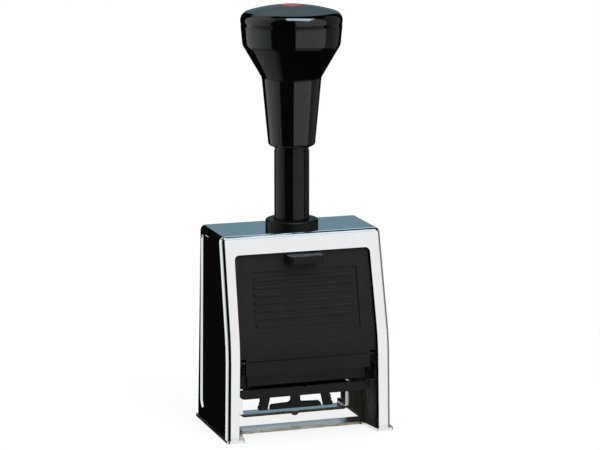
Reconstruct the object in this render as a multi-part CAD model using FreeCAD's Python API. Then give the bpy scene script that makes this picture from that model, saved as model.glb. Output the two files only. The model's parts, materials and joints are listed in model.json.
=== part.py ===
import FreeCAD, Part
import math
import os

# A self-inking automatic numbering machine: a sprung plunger carries six number wheels in a
# carriage, and an ink pad on a swinging bail turns out of the way as the plunger goes down.
# Millimetres. Origin at the centre of the base flange on the table, +X right, +Y to the rear, +Z up.
# Widths run inwards: walls, rails, pad bail, carriage, wheels. Heights run up from the table by way
# of the wheel axle, and the knob's heights from the housing's top and the stroke.

# Driving dimensions
BODY_WIDTH = 60.0
BODY_TOP_WIDTH = 58.1
BODY_HEIGHT = 70.0
FRONT_FOOT_Y = -18.2
FRONT_TOP_Y = -8.8
REAR_FOOT_Y = 19.1
REAR_TOP_Y = 17.2
STEM_Y = 1.7
STEM_R = 6.1
STROKE = 17.2
WHEEL_R = 9.0
WHEEL_COUNT = 6
DIGITS = 10
PRINT_LIFT = 0.3
AXLE_Z = PRINT_LIFT + STROKE + WHEEL_R

# Clearances, overrun, and the distance under which two ends meet
RUN_FIT = 0.06
GAP = 0.35
OVER = 2.0
MEET = 0.001

# Housing shell
PLATE = 0.95
SHEET = 1.2
BEND_R = 1.9
FRONT_BEND_Z = 32.0
FRONT_BEND_R = 49.0
WINDOW_TOP_EDGE = 6.3
WINDOW_SIDE_EDGE = 4.64
WINDOW_FOOT_EDGE = 4.5
WINDOW_R = 1.75
REAR_WINDOW_TOP_Z = 40.0
REAR_WINDOW_EDGE = 4.2
FRONT_SLOPE = math.atan2(FRONT_TOP_Y - FRONT_FOOT_Y, BODY_HEIGHT - FRONT_BEND_Z)
REAR_SLOPE = math.atan2(REAR_FOOT_Y - REAR_TOP_Y, BODY_HEIGHT - PLATE)
SIDE_SLOPE = math.atan2((BODY_WIDTH - BODY_TOP_WIDTH) / 2, BODY_HEIGHT - PLATE)

# Pressed panel in each side wall: how deep, how wide its sloping edge, how far from the wall's edges
EMBOSS = 0.4
EMBOSS_SLOPE_WIDTH = 0.6
EMBOSS_R = 3.4
EMBOSS_FOOT_EDGE = 3.8
EMBOSS_TOP_EDGE = 2.4
EMBOSS_FRONT_EDGE = 4.4
EMBOSS_REAR_EDGE = 4.4
EMBOSS_REAR_TOP_EDGE = 2.2


def front_y(z, inset):
    """Front wall's slanted face at a height, moved inwards."""
    return FRONT_FOOT_Y + (z - FRONT_BEND_Z) * math.tan(FRONT_SLOPE) + inset / math.cos(FRONT_SLOPE)


def rear_y(z, inset):
    return REAR_FOOT_Y - (z - PLATE) * math.tan(REAR_SLOPE) - inset / math.cos(REAR_SLOPE)


def side_x(z, inset):
    return BODY_WIDTH / 2 - (z - PLATE) * math.tan(SIDE_SLOPE) - inset / math.cos(SIDE_SLOPE)


# Bridge of the carriage, and the cross bar above it that the return spring stands on
BRIDGE_RISE = 18.5
BRIDGE_H = 3.2
BRIDGE_FRONT = 7.2
BRIDGE_REAR = 7.7
BRIDGE_LOW_Z = AXLE_Z + BRIDGE_RISE
BRIDGE_TOP_Z = BRIDGE_LOW_Z + BRIDGE_H
BRIDGE_FRONT_Y = STEM_Y - BRIDGE_FRONT
BRIDGE_REAR_Y = STEM_Y + BRIDGE_REAR
CROSS_RISE = 3.2
CROSS_HALF_Y = 1.4
CROSS_H = 3.0
CROSS_SINK = 1.9
CROSS_Z = BRIDGE_TOP_Z + CROSS_RISE
CROSS_TOP_Z = CROSS_Z + CROSS_H

# Front cover's hinge and the front bracket's depths
HINGE_SETBACK = 3.3
HINGE_RISE = 4.3
HINGE_PIN_R = 0.8
HINGE_EYE_R = 1.3
COVER_LOW_Z = 22.5
HINGE_Y = FRONT_FOOT_Y + HINGE_SETBACK
HINGE_Z = COVER_LOW_Z + HINGE_RISE
APRON_SETBACK = 2.6
APRON_THICK = 1.2
BEAM_THICK = 1.6
APRON_FRONT_Y = HINGE_Y + APRON_SETBACK
BEAM_FRONT_Y = APRON_FRONT_Y + APRON_THICK

# Guide rails, one beside each side wall, as wide apart as the wall's narrower end allows
RAIL_THICK = 3.0
RAIL_TOP_EDGE = 1.6
RAIL_REAR_EDGE = 5.7
RAIL_R = 3.0
GROOVE_DEPTH = 1.8
SLOT_DEPTH = 2.2
SCREW_R = 0.9
SCREW_HEAD_R = 1.6
SCREW_HEAD_H = 0.7
SCREW_LENGTH = 6.0
RAIL_SCREW_EDGE = 2.2
RAIL_TOP_Z = CROSS_TOP_Z + RAIL_TOP_EDGE
RAIL_OUT = min(side_x(z, SHEET + EMBOSS) for z in (PLATE, RAIL_TOP_Z)) - RUN_FIT
RAIL_IN = RAIL_OUT - RAIL_THICK
RAIL_FRONT_Y = BEAM_FRONT_Y + BEAM_THICK
RAIL_REAR_Y = REAR_TOP_Y - RAIL_REAR_EDGE

# Windows in the housing
WINDOW_TOP_Z = BODY_HEIGHT - WINDOW_TOP_EDGE
WINDOW_TOP_HALF = side_x(WINDOW_TOP_Z, 0) - WINDOW_SIDE_EDGE
WINDOW_FOOT_HALF = BODY_WIDTH / 2 - WINDOW_FOOT_EDGE
REAR_WINDOW_HALF = BODY_WIDTH / 2 - REAR_WINDOW_EDGE

# Base plate: a flange round the housing, two feet under the rails and a bar before the print line
FLANGE_LEDGE = 0.2
FLANGE_HALF_X = max(BODY_WIDTH, BODY_TOP_WIDTH) / 2 + FLANGE_LEDGE
FLANGE_HALF_Y = 20.2
FLANGE_R = 1.0
BAR_WIDTH = 7.0
BAR_AHEAD = 4.0
BAR_REAR_Y = STEM_Y - BAR_AHEAD
BAR_FRONT_Y = BAR_REAR_Y - BAR_WIDTH
BAY_MARGIN = 0.2
MOUTH_FRONT_MARGIN = 0.5
MOUTH_BAR_MARGIN = 2.4
BAY_HALF = RAIL_IN - BAY_MARGIN
FOOT_FRONT_HALF = RAIL_IN - MOUTH_FRONT_MARGIN
FOOT_BAR_HALF = RAIL_IN - MOUTH_BAR_MARGIN
BAY_R = 1.5
BAR_MARK_HALF = 0.8
BAR_MARK_DEPTH = 0.7

# Collar bush and its nut
SPIGOT_WALL = 1.64
SPIGOT_DEPTH = 4.2
COLLAR_RIM = 1.4
COLLAR_H = 3.1
COLLAR_CHAMFER = 0.6
NUT_RIM = 1.8
NUT_H = 2.4
BORE_FIT_R = STEM_R + RUN_FIT
SPIGOT_R = BORE_FIT_R + SPIGOT_WALL
COLLAR_R = SPIGOT_R + COLLAR_RIM
NUT_R = SPIGOT_R + NUT_RIM

# Knob: radii and heights of its profile, each from the one before it
KNOB_CLEAR = 8.5
KNOB_LOW_Z = BODY_HEIGHT + COLLAR_H + STROKE + KNOB_CLEAR
KNOB_FOOT_WALL = 2.0
KNOB_LOW_EDGE = 1.3
KNOB_WAIST_RISE = 23.8
KNOB_WAIST_FLARE = 2.25
KNOB_WAIST_BLEND = 2.5
KNOB_RIM_RISE = 11.3
KNOB_RIM_FLARE = 6.6
KNOB_RIM_BLEND = 4.0
KNOB_SEAM_RISE = 6.9
KNOB_SEAM_FLARE = 0.6
KNOB_SEAM_GAP = 0.25
KNOB_SEAM_DEPTH = 0.3
KNOB_WALL = 2.2
KNOB_WEB = 4.0
KNOB_LOW_R = STEM_R + KNOB_FOOT_WALL
KNOB_WAIST_Z = KNOB_LOW_Z + KNOB_WAIST_RISE
KNOB_WAIST_R = KNOB_LOW_R + KNOB_WAIST_FLARE
KNOB_RIM_Z = KNOB_WAIST_Z + KNOB_RIM_RISE
KNOB_RIM_R = KNOB_WAIST_R + KNOB_RIM_FLARE
KNOB_SEAM_Z = KNOB_RIM_Z + KNOB_SEAM_RISE
KNOB_SEAM_R = KNOB_RIM_R + KNOB_SEAM_FLARE

# Knob cap above the seam, with a red button in its dome
CAP_LEDGE = 0.1
CAP_BEVEL_IN = 0.2
CAP_BEVEL_H = 1.3
CAP_SIDE_RISE = 1.5
CAP_SHOULDER_IN = 0.6
CAP_SHOULDER_RISE = 1.9
CAP_CREASE_IN = 1.95
CAP_CREASE_RISE = 3.0
CAP_DOME_RISE = 2.4
CAP_WALL = 2.0
CAP_FIT = 0.1
CAP_SPIGOT_H = 4.0
CAP_SIDE_R = KNOB_SEAM_R + CAP_LEDGE
CAP_SIDE_Z = KNOB_SEAM_Z + CAP_SIDE_RISE
CAP_CREASE_R = CAP_SIDE_R - CAP_CREASE_IN
CAP_CREASE_Z = CAP_SIDE_Z + CAP_CREASE_RISE
CAP_TOP_Z = CAP_CREASE_Z + CAP_DOME_RISE
BUTTON_R = 3.75
BUTTON_H = 0.6
KNOB_SCREW_R = 1.6
KNOB_SCREW_HEAD_R = 3.2
KNOB_SCREW_HEAD_H = 2.4
KNOB_SCREW_LENGTH = 12.0

# Stem tube, with its neck through the bridge and its plug inside the knob
STEM_WALL = 1.0
STEM_NECK_R = 4.0
STEM_NECK_TAIL = 3.8
STEM_SOCKET = 15.2
STEM_RING_DROP = 1.6
STEM_RING_H = 0.8
STEM_RING_DEPTH = 0.3
PLUG_LENGTH = 18.5
STEM_BORE_R = STEM_R - STEM_WALL
STEM_NECK_LOW_Z = BRIDGE_LOW_Z - STEM_NECK_TAIL
STEM_FLOOR_Z = CROSS_Z - GAP
STEM_TOP_Z = KNOB_LOW_Z + STEM_SOCKET
STEM_RING_Z = KNOB_LOW_Z - STEM_RING_DROP
PLUG_LOW_Z = STEM_TOP_Z - PLUG_LENGTH

# Return spring inside the stem
SEAT_H = 1.0
SEAT_SPIGOT_H = 2.6
SPRING_WIRE_R = 0.5
SPRING_CLEAR = 0.6
SPRING_TURNS = 6
SPRING_CLOSED_TURNS = 1
SPRING_OUT_R = STEM_BORE_R - SPRING_CLEAR
SEAT_TOP_Z = CROSS_TOP_Z + SEAT_H

# Pad bail: pivot, arms, bar and roller
BAIL_PIVOT_RISE = 5.5
BAIL_CLEAR = 4.4
BAIL_SWING_DEG = 120.4
BAIL_SHEET = 1.2
BAIL_FRONT = 2.8
BAIL_REAR = 2.7
BAIL_LOW_Z = 3.7
BAIL_BAR = 1.0
BAIL_BEND_R = 2.0
BAIL_BEND_RISE = 4.3
BAIL_EYE_R = 3.4
BAIL_PIN_R = 1.4
BAIL_PIN_HEAD_R = 2.4
BAIL_PIN_HEAD_H = 0.8
BAIL_PIVOT_Z = AXLE_Z + BAIL_PIVOT_RISE
BAIL_OUT = RAIL_IN - BAIL_CLEAR
BAIL_IN = BAIL_OUT - BAIL_SHEET
BAIL_FRONT_Y = STEM_Y - BAIL_FRONT
BAIL_REAR_Y = STEM_Y + BAIL_REAR
BAIL_BEND_TOP_Z = BAIL_LOW_Z + BAIL_BEND_RISE
NUB_HALF = 1.5
NUB_DROP = 0.6
NUB_R = 1.3
NUB_DEPTH = 1.0
LUG_EDGE = 0.05
LUG_WIDTH = 1.2
LUG_RISE = 1.8
LUG_THICK = 1.0
LUG_R = 0.4
LUG_OUT = BAIL_IN - LUG_EDGE
LUG_IN = LUG_OUT - LUG_WIDTH
LUG_TOP_Z = BAIL_LOW_Z + BAIL_BAR + LUG_RISE
SHELF_DEPTH = 1.8
SHELF_THICK = 1.2
ROLLER_R = 1.2
ROLLER_ORBIT_R = 8.0
ROLLER_START_DEG = 120.0
ROLLER_EAR_R = 2.2
ROLLER_PIN_R = 0.8
ROLLER_REACH = 1.7

# Carriage sides, guide shoes and side screws
SIDE_CLEAR = 1.3
SIDE_THICK = 1.2
SIDE_NOSE = 11.9
SIDE_WAIST_RISE = 7.0
SIDE_SHOULDER_DROP = 4.0
SIDE_FOOT_HALF = 4.2
SIDE_FOOT_DROP = 4.5
SIDE_R = 1.5
SIDE_OUT = BAIL_IN - SIDE_CLEAR
SIDE_IN = SIDE_OUT - SIDE_THICK
SIDE_FRONT_Y = STEM_Y - SIDE_NOSE
SIDE_WAIST_Z = AXLE_Z + SIDE_WAIST_RISE
SIDE_SHOULDER_Z = BRIDGE_LOW_Z - SIDE_SHOULDER_DROP
STEM_NUT_RIM = 1.3
STEM_NUT_H = 2.8
STEM_NUT_R = STEM_NECK_R + STEM_NUT_RIM
SHOE_SETBACK = 3.3
SHOE_HALF = 1.95
SHOE_DROP = 4.8
SHOE_EDGE = 0.6
SHOE_Y = STEM_Y + SHOE_SETBACK
SHOE_LOW_Z = BRIDGE_LOW_Z - SHOE_DROP
SIDE_SCREW_R = 1.0
SIDE_SCREW_HEAD_R = 1.8
SIDE_SCREW_HEAD_H = 0.8
SIDE_SCREW_LENGTH = 7.0
SIDE_SCREW_FRONT_EDGE = 2.5
SIDE_SCREW_REAR_EDGE = 1.8

# Wheel axle, and the pawl rocker's cheeks at both ends of the wheels
AXLE_R = 1.5
CLIP_R = 2.7
CLIP_THICK = 0.7
AXLE_END = 0.3
BUSH_WIDTH = 1.05
CHEEK_THICK = 1.0
CHEEK_CLEAR = 0.3
CHEEK_HUB_R = 3.0
CHEEK_ARM_R = 2.2
CHEEK_OUT = SIDE_IN - BUSH_WIDTH - GAP
CHEEK_IN = CHEEK_OUT - CHEEK_THICK

# Number wheels and their ratchets
WHEEL_GAP = 0.4
RATCHET_WIDTH = 1.2
RATCHET_STEP = 2.2
RATCHET_TOOTH = 1.5
RATCHET_LEAN_DEG = 5.0
TYPE_HALF = 2.1
TYPE_DRAFT = 0.2
TYPE_RELIEF = 0.9
WHEEL_PITCH = 2 * (CHEEK_IN - CHEEK_CLEAR) / WHEEL_COUNT
TYPE_WIDTH = WHEEL_PITCH - RATCHET_WIDTH - WHEEL_GAP
RATCHET_R = WHEEL_R - RATCHET_STEP
RATCHET_ROOT_R = RATCHET_R - RATCHET_TOOTH

# Pawl rocker, turning on the wheel axle
PAWL_SHAFT_R = 1.1
PAWL_RISE = 3.0
PAWL_START_DEG = 14.0
PAWL_SWING_DEG = 37.0
PAWL_ARM = WHEEL_R + PAWL_RISE
TIE_LAG_DEG = 22.0
TIE_RISE = 1.2
TIE_THICK = 1.4
TIE_HALF = 1.2
TIE_LOW_R = WHEEL_R + TIE_RISE
TIE_HIGH_R = TIE_LOW_R + TIE_THICK
COMB_HUB_R = 1.9
FINGER_WIDTH = 0.9
FINGER_LEAD_DEG = 12.0
FINGER_ROOT = 1.1
FINGER_TIP = 0.5
PAWL_SPRING_THICK = 0.3
PAWL_SPRING_HALF = 4.0
PAWL_SPRING_LIP = 0.8

# Detent comb under the rear of the bridge
DETENT_SHEET = 0.6
DETENT_FLANGE = 2.2
DETENT_KNEE_RISE = 7.7
DETENT_TIP_DEG = 38.0
DETENT_EDGE = 0.2
DETENT_KNEE_Z = AXLE_Z + DETENT_KNEE_RISE
DETENT_HALF = CHEEK_IN - DETENT_EDGE

# Ink pad, just under the wheels
PAD_CLEAR = 0.3
PAD_EDGE = 3.1
PAD_FRONT = 5.7
PAD_REAR = 5.8
PAD_R = 1.2
PAD_TOP_Z = AXLE_Z - WHEEL_R - PAD_CLEAR
PAD_FRONT_Y = STEM_Y - PAD_FRONT
PAD_REAR_Y = STEM_Y + PAD_REAR

# Pad cassette: its tray between the bail's arms and its front lip between the rails
TRAY_DEPTH = 3.8
TRAY_FLOOR = 1.3
TRAY_RIM_DROP = 0.5
TRAY_EDGE = 0.4
TRAY_BEHIND = 7.3
TRAY_R = 1.0
WELL_WALL = 1.2
TRAY_LOW_Z = PAD_TOP_Z - TRAY_DEPTH
TRAY_RIM_TOP_Z = PAD_TOP_Z - TRAY_RIM_DROP
TRAY_HALF = BAIL_IN - TRAY_EDGE
TRAY_REAR_Y = STEM_Y + TRAY_BEHIND
PAD_HALF = TRAY_HALF - PAD_EDGE
LIP_EDGE = 0.58
LIP_AHEAD = 1.0
LIP_THICK = 1.1
LIP_H = 3.2
LIP_R = 2.2
LIP_TOP_R = 0.5
LIP_MARK_HALF = 0.6
LIP_MARK_DEPTH = 0.5
LIP_HALF = RAIL_IN - LIP_EDGE
LIP_TOP_Z = TRAY_LOW_Z + LIP_H
LIP_FRONT_Y = APRON_FRONT_Y - LIP_AHEAD
TRAY_FRONT_Y = LIP_FRONT_Y + LIP_THICK

# Cassette handle: an anchor between two squeeze legs
HANDLE_THICK = 1.6
HANDLE_LOW_Z = 6.1
HANDLE_FRONT_Y = BAIL_FRONT_Y - HANDLE_THICK
FLANGE_MARGIN = 2.7
FLANGE_THICK = 0.8
FLANGE_AHEAD = 1.3
FLANGE_WIDTH = 5.0
ANCHOR_STEM_HALF = 1.65
ANCHOR_FOOT_CLEAR = 1.15
ANCHOR_FOOT_H = 2.0
ANCHOR_FOOT_SLOPE = 0.3
ANCHOR_FILLET = 1.2
ANCHOR_TIP_R = 0.9
LEG_EDGE = 4.88
LEG_LEAN = 1.4
LEG_TOP_WIDTH = 3.35
LEG_LOW_WIDTH = 3.25
LEG_TEETH = 4
LEG_TOOTH_DEPTH = 0.55
LEG_TOOTH_SHARE = 0.6
LEG_SMOOTH_TOP = 1.2
LEG_SMOOTH_LOW = 0.8
LEG_LOW_OUT = TRAY_HALF - LEG_EDGE
LEG_LOW_IN = LEG_LOW_OUT - LEG_LOW_WIDTH
LEG_TOP_OUT = LEG_LOW_OUT - LEG_LEAN
LEG_TOP_IN = LEG_TOP_OUT - LEG_TOP_WIDTH
ANCHOR_FOOT_HALF = LEG_LOW_IN - ANCHOR_FOOT_CLEAR

# Front bracket between the rails: apron under the cover, wings, and cheeks for the cover's pins
BRACKET_CHEEK = 1.6
BRACKET_EYE_R = 1.2
APRON_OVERLAP = 0.5
APRON_BELOW = 0.5
APRON_H = 4.6
APRON_R = 0.5
WING_LOW_DROP = 0.7
WING_STEP_DROP = 0.4
WING_THICK = 0.9
CHEEK_BRACKET_IN = RAIL_IN - BRACKET_CHEEK
APRON_HALF = BAIL_OUT + APRON_OVERLAP
APRON_TOP_Z = COVER_LOW_Z - APRON_BELOW
APRON_LOW_Z = APRON_TOP_Z - APRON_H
WING_LOW_Z = APRON_LOW_Z - WING_LOW_DROP
WING_STEP_Z = APRON_TOP_Z - WING_STEP_DROP

# Front cover, hinged near its lower edge
COVER_RECESS = 1.3
COVER_WALL = 1.6
COVER_NOTCH_H = 6.0
COVER_BAND_EDGE = 0.5
COVER_TOP_GAP = 0.4
COVER_SIDE_GAP = 0.4
COVER_R = 1.4
COVER_NOTCH_Z = COVER_LOW_Z + COVER_NOTCH_H
COVER_BAND_HALF = CHEEK_BRACKET_IN - COVER_BAND_EDGE
KNUCKLE_THICK = 1.5
TAB_HALF = 6.15
TAB_H = 2.7
TAB_DROP = 3.4
TAB_REACH = 4.6
TAB_R = 1.2
TAB_LOW_Z = WINDOW_TOP_Z - TAB_DROP
TAB_TOP_Z = TAB_LOW_Z + TAB_H
TAB_FRONT_Y = front_y(TAB_LOW_Z, 0) - TAB_REACH
PANEL_EDGE = 3.0
PANEL_DROP = 6.2
PANEL_H = 20.5
PANEL_DEPTH = 0.5
PANEL_R = 1.5
PANEL_HALF = COVER_BAND_HALF - PANEL_EDGE
PANEL_TOP_Z = WINDOW_TOP_Z - PANEL_DROP
PANEL_LOW_Z = PANEL_TOP_Z - PANEL_H
RIB_COUNT = 7
RIB_WIDTH = 1.1
PLAIN_EDGE = 5.5
PLAIN_RISE = 1.1
PLAIN_H = 4.6
PLAIN_HALF = COVER_BAND_HALF - PLAIN_EDGE
PLAIN_LOW_Z = COVER_NOTCH_Z + PLAIN_RISE
PLAIN_TOP_Z = PLAIN_LOW_Z + PLAIN_H
LINE_WIDTH = 0.5
LINE_DEPTH = 0.4


def vec(x, y, z):
    return FreeCAD.Vector(x, y, z)


def on_plane(normal, u, v):
    """A point at (u, v) on the plane through the origin with this normal."""
    if normal == "x":
        return vec(0, u, v)
    if normal == "y":
        return vec(u, 0, v)
    return vec(u, v, 0)


def unit(normal):
    return {"x": vec(1, 0, 0), "y": vec(0, 1, 0), "z": vec(0, 0, 1)}[normal]


def outline(normal, corners):
    """Closed wire through corners (u, v) or (u, v, r), each rounded by a tangent arc of radius r."""
    count = len(corners)
    points = [on_plane(normal, corner[0], corner[1]) for corner in corners]
    ends = []
    edges = []
    for i, corner in enumerate(corners):
        here = points[i]
        radius = corner[2] if len(corner) > 2 else 0
        if radius <= 0:
            ends.append((here, here))
            continue
        back = (points[i - 1] - here).normalize()
        ahead = (points[(i + 1) % count] - here).normalize()
        half = back.getAngle(ahead) / 2
        reach = radius / math.tan(half)
        start = here + back * reach
        end = here + ahead * reach
        middle = (back + ahead).normalize()
        crown = here + middle * (radius / math.sin(half) - radius)
        ends.append((start, end))
        edges.append((i, Part.Arc(start, crown, end).toShape()))
    arcs = dict(edges)
    ordered = []
    for i in range(count):
        if i in arcs:
            ordered.append(arcs[i])
        start = ends[i][1]
        end = ends[(i + 1) % count][0]
        if not start.isEqual(end, MEET):
            ordered.append(Part.LineSegment(start, end).toShape())
    return Part.Wire(ordered)


def slab(normal, corners, low, high):
    """The outline's face, extruded along the normal from low to high."""
    axis = unit(normal)
    wire = outline(normal, corners)
    wire.translate(axis * low)
    return Part.Face(wire).extrude(axis * (high - low))


def block(x, y, z):
    """Box between (low, high) pairs."""
    corner = vec(x[0], y[0], z[0])
    return Part.makeBox(x[1] - x[0], y[1] - y[0], z[1] - z[0], corner)


def rod(normal, radius, place, low, high):
    """Cylinder along the normal, through (u, v) of its plane."""
    axis = unit(normal)
    base = on_plane(normal, place[0], place[1]) + axis * low
    return Part.makeCylinder(radius, high - low, base, axis)


def turned(corners):
    """Solid of revolution about the stem's axis; corners are (radius, height) or (radius, height, r)."""
    wire = outline("y", corners)
    solid = Part.Face(wire).revolve(vec(0, 0, 0), vec(0, 0, 1), 360)
    solid.translate(vec(0, STEM_Y, 0))
    return solid


def mirrored(shape):
    return shape.mirror(vec(0, 0, 0), vec(1, 0, 0))


def both_sides(shape):
    return Part.makeCompound([shape, mirrored(shape)])


def polar(radius, degrees):
    """(y, z) offset at an angle from straight up, turning towards the front."""
    angle = math.radians(degrees)
    return (-radius * math.sin(angle), radius * math.cos(angle))


def about_axle(radius, degrees):
    offset = polar(radius, degrees)
    return (STEM_Y + offset[0], AXLE_Z + offset[1])


def joined(first, *others):
    return first.fuse(list(others)).removeSplitter()


def save(name, shape):
    shape.exportStep("parts/" + name + ".step")


# Housing

def front_corners(inset, low, high):
    """The front face's profile from low to high, moved inwards."""
    bend_z = FRONT_BEND_Z - inset * math.tan(FRONT_SLOPE / 2)
    foot_y = FRONT_FOOT_Y + inset
    return [(foot_y, low), (foot_y, bend_z, FRONT_BEND_R - inset), (front_y(high, inset), high)]


def body_block(inset, low):
    """The housing's solid outer form, moved inwards by inset on every side but the bottom."""
    high = BODY_HEIGHT - inset
    side = front_corners(inset, low, high) + [(rear_y(high, inset), high), (rear_y(low, inset), low)]
    front = [(-side_x(low, inset), low), (-side_x(high, inset), high),
             (side_x(high, inset), high), (side_x(low, inset), low)]
    solid = slab("x", side, -BODY_WIDTH, BODY_WIDTH).common(slab("y", front, -BODY_WIDTH, BODY_WIDTH))
    bends = []
    for edge in solid.Edges:
        middle = edge.valueAt((edge.FirstParameter + edge.LastParameter) / 2)
        on_top = high - middle.z < GAP
        at_side = side_x(middle.z, inset) - abs(middle.x) < GAP and middle.z - low > GAP
        if on_top or at_side:
            bends.append(edge)
    return solid.makeFillet(BEND_R - min(inset, SHEET), bends)


def window_tool(low_half, high_half, high, y_low, y_high):
    corners = [(-low_half, -OVER), (-high_half, high, WINDOW_R),
               (high_half, high, WINDOW_R), (low_half, -OVER)]
    return slab("y", corners, y_low, y_high)


def window_half(z):
    """Half-width of the front window at a height."""
    return WINDOW_FOOT_HALF + (WINDOW_TOP_HALF - WINDOW_FOOT_HALF) * z / WINDOW_TOP_Z


def panel_outline(inset, out):
    """The pressed panel's outline, moved inwards by inset, in a plane this far outside the wall."""
    low = PLATE + EMBOSS_FOOT_EDGE + inset
    high = BODY_HEIGHT - EMBOSS_TOP_EDGE - inset
    front = FRONT_FOOT_Y + EMBOSS_FRONT_EDGE + inset
    radius = EMBOSS_R - inset
    corners = [(front, low, radius), (front, FRONT_BEND_Z, FRONT_BEND_R / 2),
               (front_y(high, EMBOSS_FRONT_EDGE + inset), high, radius),
               (rear_y(high, EMBOSS_REAR_TOP_EDGE + inset), high, radius),
               (rear_y(low, EMBOSS_REAR_EDGE + inset), low, radius)]
    wire = outline("x", corners)
    wire.translate(vec(BODY_WIDTH / 2 + out, 0, 0))
    return wire


def panel_wedge():
    """Right-hand solid from just outside the wall to the panel's floor, its edges sloping."""
    rise = EMBOSS / 4
    spread = EMBOSS_SLOPE_WIDTH * rise / EMBOSS
    wires = [panel_outline(-spread, rise), panel_outline(EMBOSS_SLOPE_WIDTH, -EMBOSS)]
    wedge = Part.makeLoft(wires, True, True)
    wedge.rotate(vec(BODY_WIDTH / 2, 0, PLATE), vec(0, 1, 0), -math.degrees(SIDE_SLOPE))
    return wedge


def make_housing():
    shell = body_block(0, PLATE).cut(body_block(SHEET, PLATE - OVER))
    front = window_tool(window_half(-OVER), WINDOW_TOP_HALF, WINDOW_TOP_Z,
                        FRONT_FOOT_Y - OVER, FRONT_TOP_Y + 2 * OVER)
    rear = window_tool(REAR_WINDOW_HALF, REAR_WINDOW_HALF, REAR_WINDOW_TOP_Z,
                       RAIL_REAR_Y, REAR_FOOT_Y + OVER)
    hole = rod("z", SPIGOT_R + RUN_FIT, (0, STEM_Y), BODY_HEIGHT - SHEET - OVER, BODY_HEIGHT + OVER)
    shell = shell.cut([front, rear, hole])
    pocket = panel_wedge()
    back = pocket.translated(vec(-SHEET, 0, 0))
    shell = shell.cut([pocket, mirrored(pocket)])
    return shell.fuse([back, mirrored(back)]).removeSplitter()


def rail_screw_places():
    x = RAIL_OUT - RAIL_THICK / 2
    depths = (RAIL_FRONT_Y + RAIL_SCREW_EDGE, RAIL_REAR_Y - RAIL_SCREW_EDGE)
    return [(sign * x, y) for sign in (-1, 1) for y in depths]


def make_rail_screw(x, y):
    """Countersunk screw from below, its head flush in the base plate."""
    head = Part.makeCone(SCREW_HEAD_R, SCREW_R, SCREW_HEAD_H, vec(x, y, PLATE - SCREW_HEAD_H))
    shank = rod("z", SCREW_R, (x, y), PLATE - SCREW_HEAD_H / 2, PLATE + SCREW_LENGTH)
    return joined(head, shank)


def make_base_plate():
    corners = [(-FLANGE_HALF_X, -FLANGE_HALF_Y, FLANGE_R), (FLANGE_HALF_X, -FLANGE_HALF_Y, FLANGE_R),
               (FLANGE_HALF_X, FLANGE_HALF_Y, FLANGE_R), (-FLANGE_HALF_X, FLANGE_HALF_Y, FLANGE_R)]
    plate = slab("z", corners, 0, PLATE)
    flare = (FOOT_FRONT_HALF - FOOT_BAR_HALF) / (FLANGE_HALF_Y + BAR_FRONT_Y)
    wide = FOOT_FRONT_HALF + flare * OVER
    mouth = [(-wide, -FLANGE_HALF_Y - OVER), (-FOOT_BAR_HALF, BAR_FRONT_Y, BAY_R),
             (FOOT_BAR_HALF, BAR_FRONT_Y, BAY_R), (wide, -FLANGE_HALF_Y - OVER)]
    bay = [(-BAY_HALF, BAR_REAR_Y, BAY_R), (BAY_HALF, BAR_REAR_Y, BAY_R),
           (BAY_HALF, FLANGE_HALF_Y + OVER), (-BAY_HALF, FLANGE_HALF_Y + OVER)]
    mark = [(-BAR_MARK_HALF, BAR_REAR_Y + OVER), (0, BAR_REAR_Y - BAR_MARK_DEPTH),
            (BAR_MARK_HALF, BAR_REAR_Y + OVER)]
    cuts = [slab("z", shape, -OVER, PLATE + OVER) for shape in (mouth, bay, mark)]
    for x, y in rail_screw_places():
        cuts.append(rod("z", SCREW_HEAD_R, (x, y), -OVER, PLATE - SCREW_HEAD_H))
        cuts.append(make_rail_screw(x, y))
    return plate.cut(cuts)


def make_collar_bush():
    top = BODY_HEIGHT + COLLAR_H
    corners = [(BORE_FIT_R, BODY_HEIGHT - SPIGOT_DEPTH), (SPIGOT_R, BODY_HEIGHT - SPIGOT_DEPTH),
               (SPIGOT_R, BODY_HEIGHT), (COLLAR_R, BODY_HEIGHT), (COLLAR_R, top, COLLAR_CHAMFER),
               (BORE_FIT_R, top)]
    return turned(corners)


def hex_prism(corner_r, low, high):
    """Hexagonal prism about the stem's axis, with flats to the front and rear."""
    points = []
    for i in range(7):
        turn = math.pi / 3 * i
        points.append(vec(corner_r * math.cos(turn), STEM_Y + corner_r * math.sin(turn), low))
    ring = Part.makePolygon(points)
    return Part.Face(ring).extrude(vec(0, 0, high - low))


def make_collar_nut():
    top = BODY_HEIGHT - SHEET
    nut = hex_prism(NUT_R, top - NUT_H, top)
    return nut.cut(rod("z", SPIGOT_R, (0, STEM_Y), top - NUT_H - OVER, top + OVER))


# Guide rails with their cam slots

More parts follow.
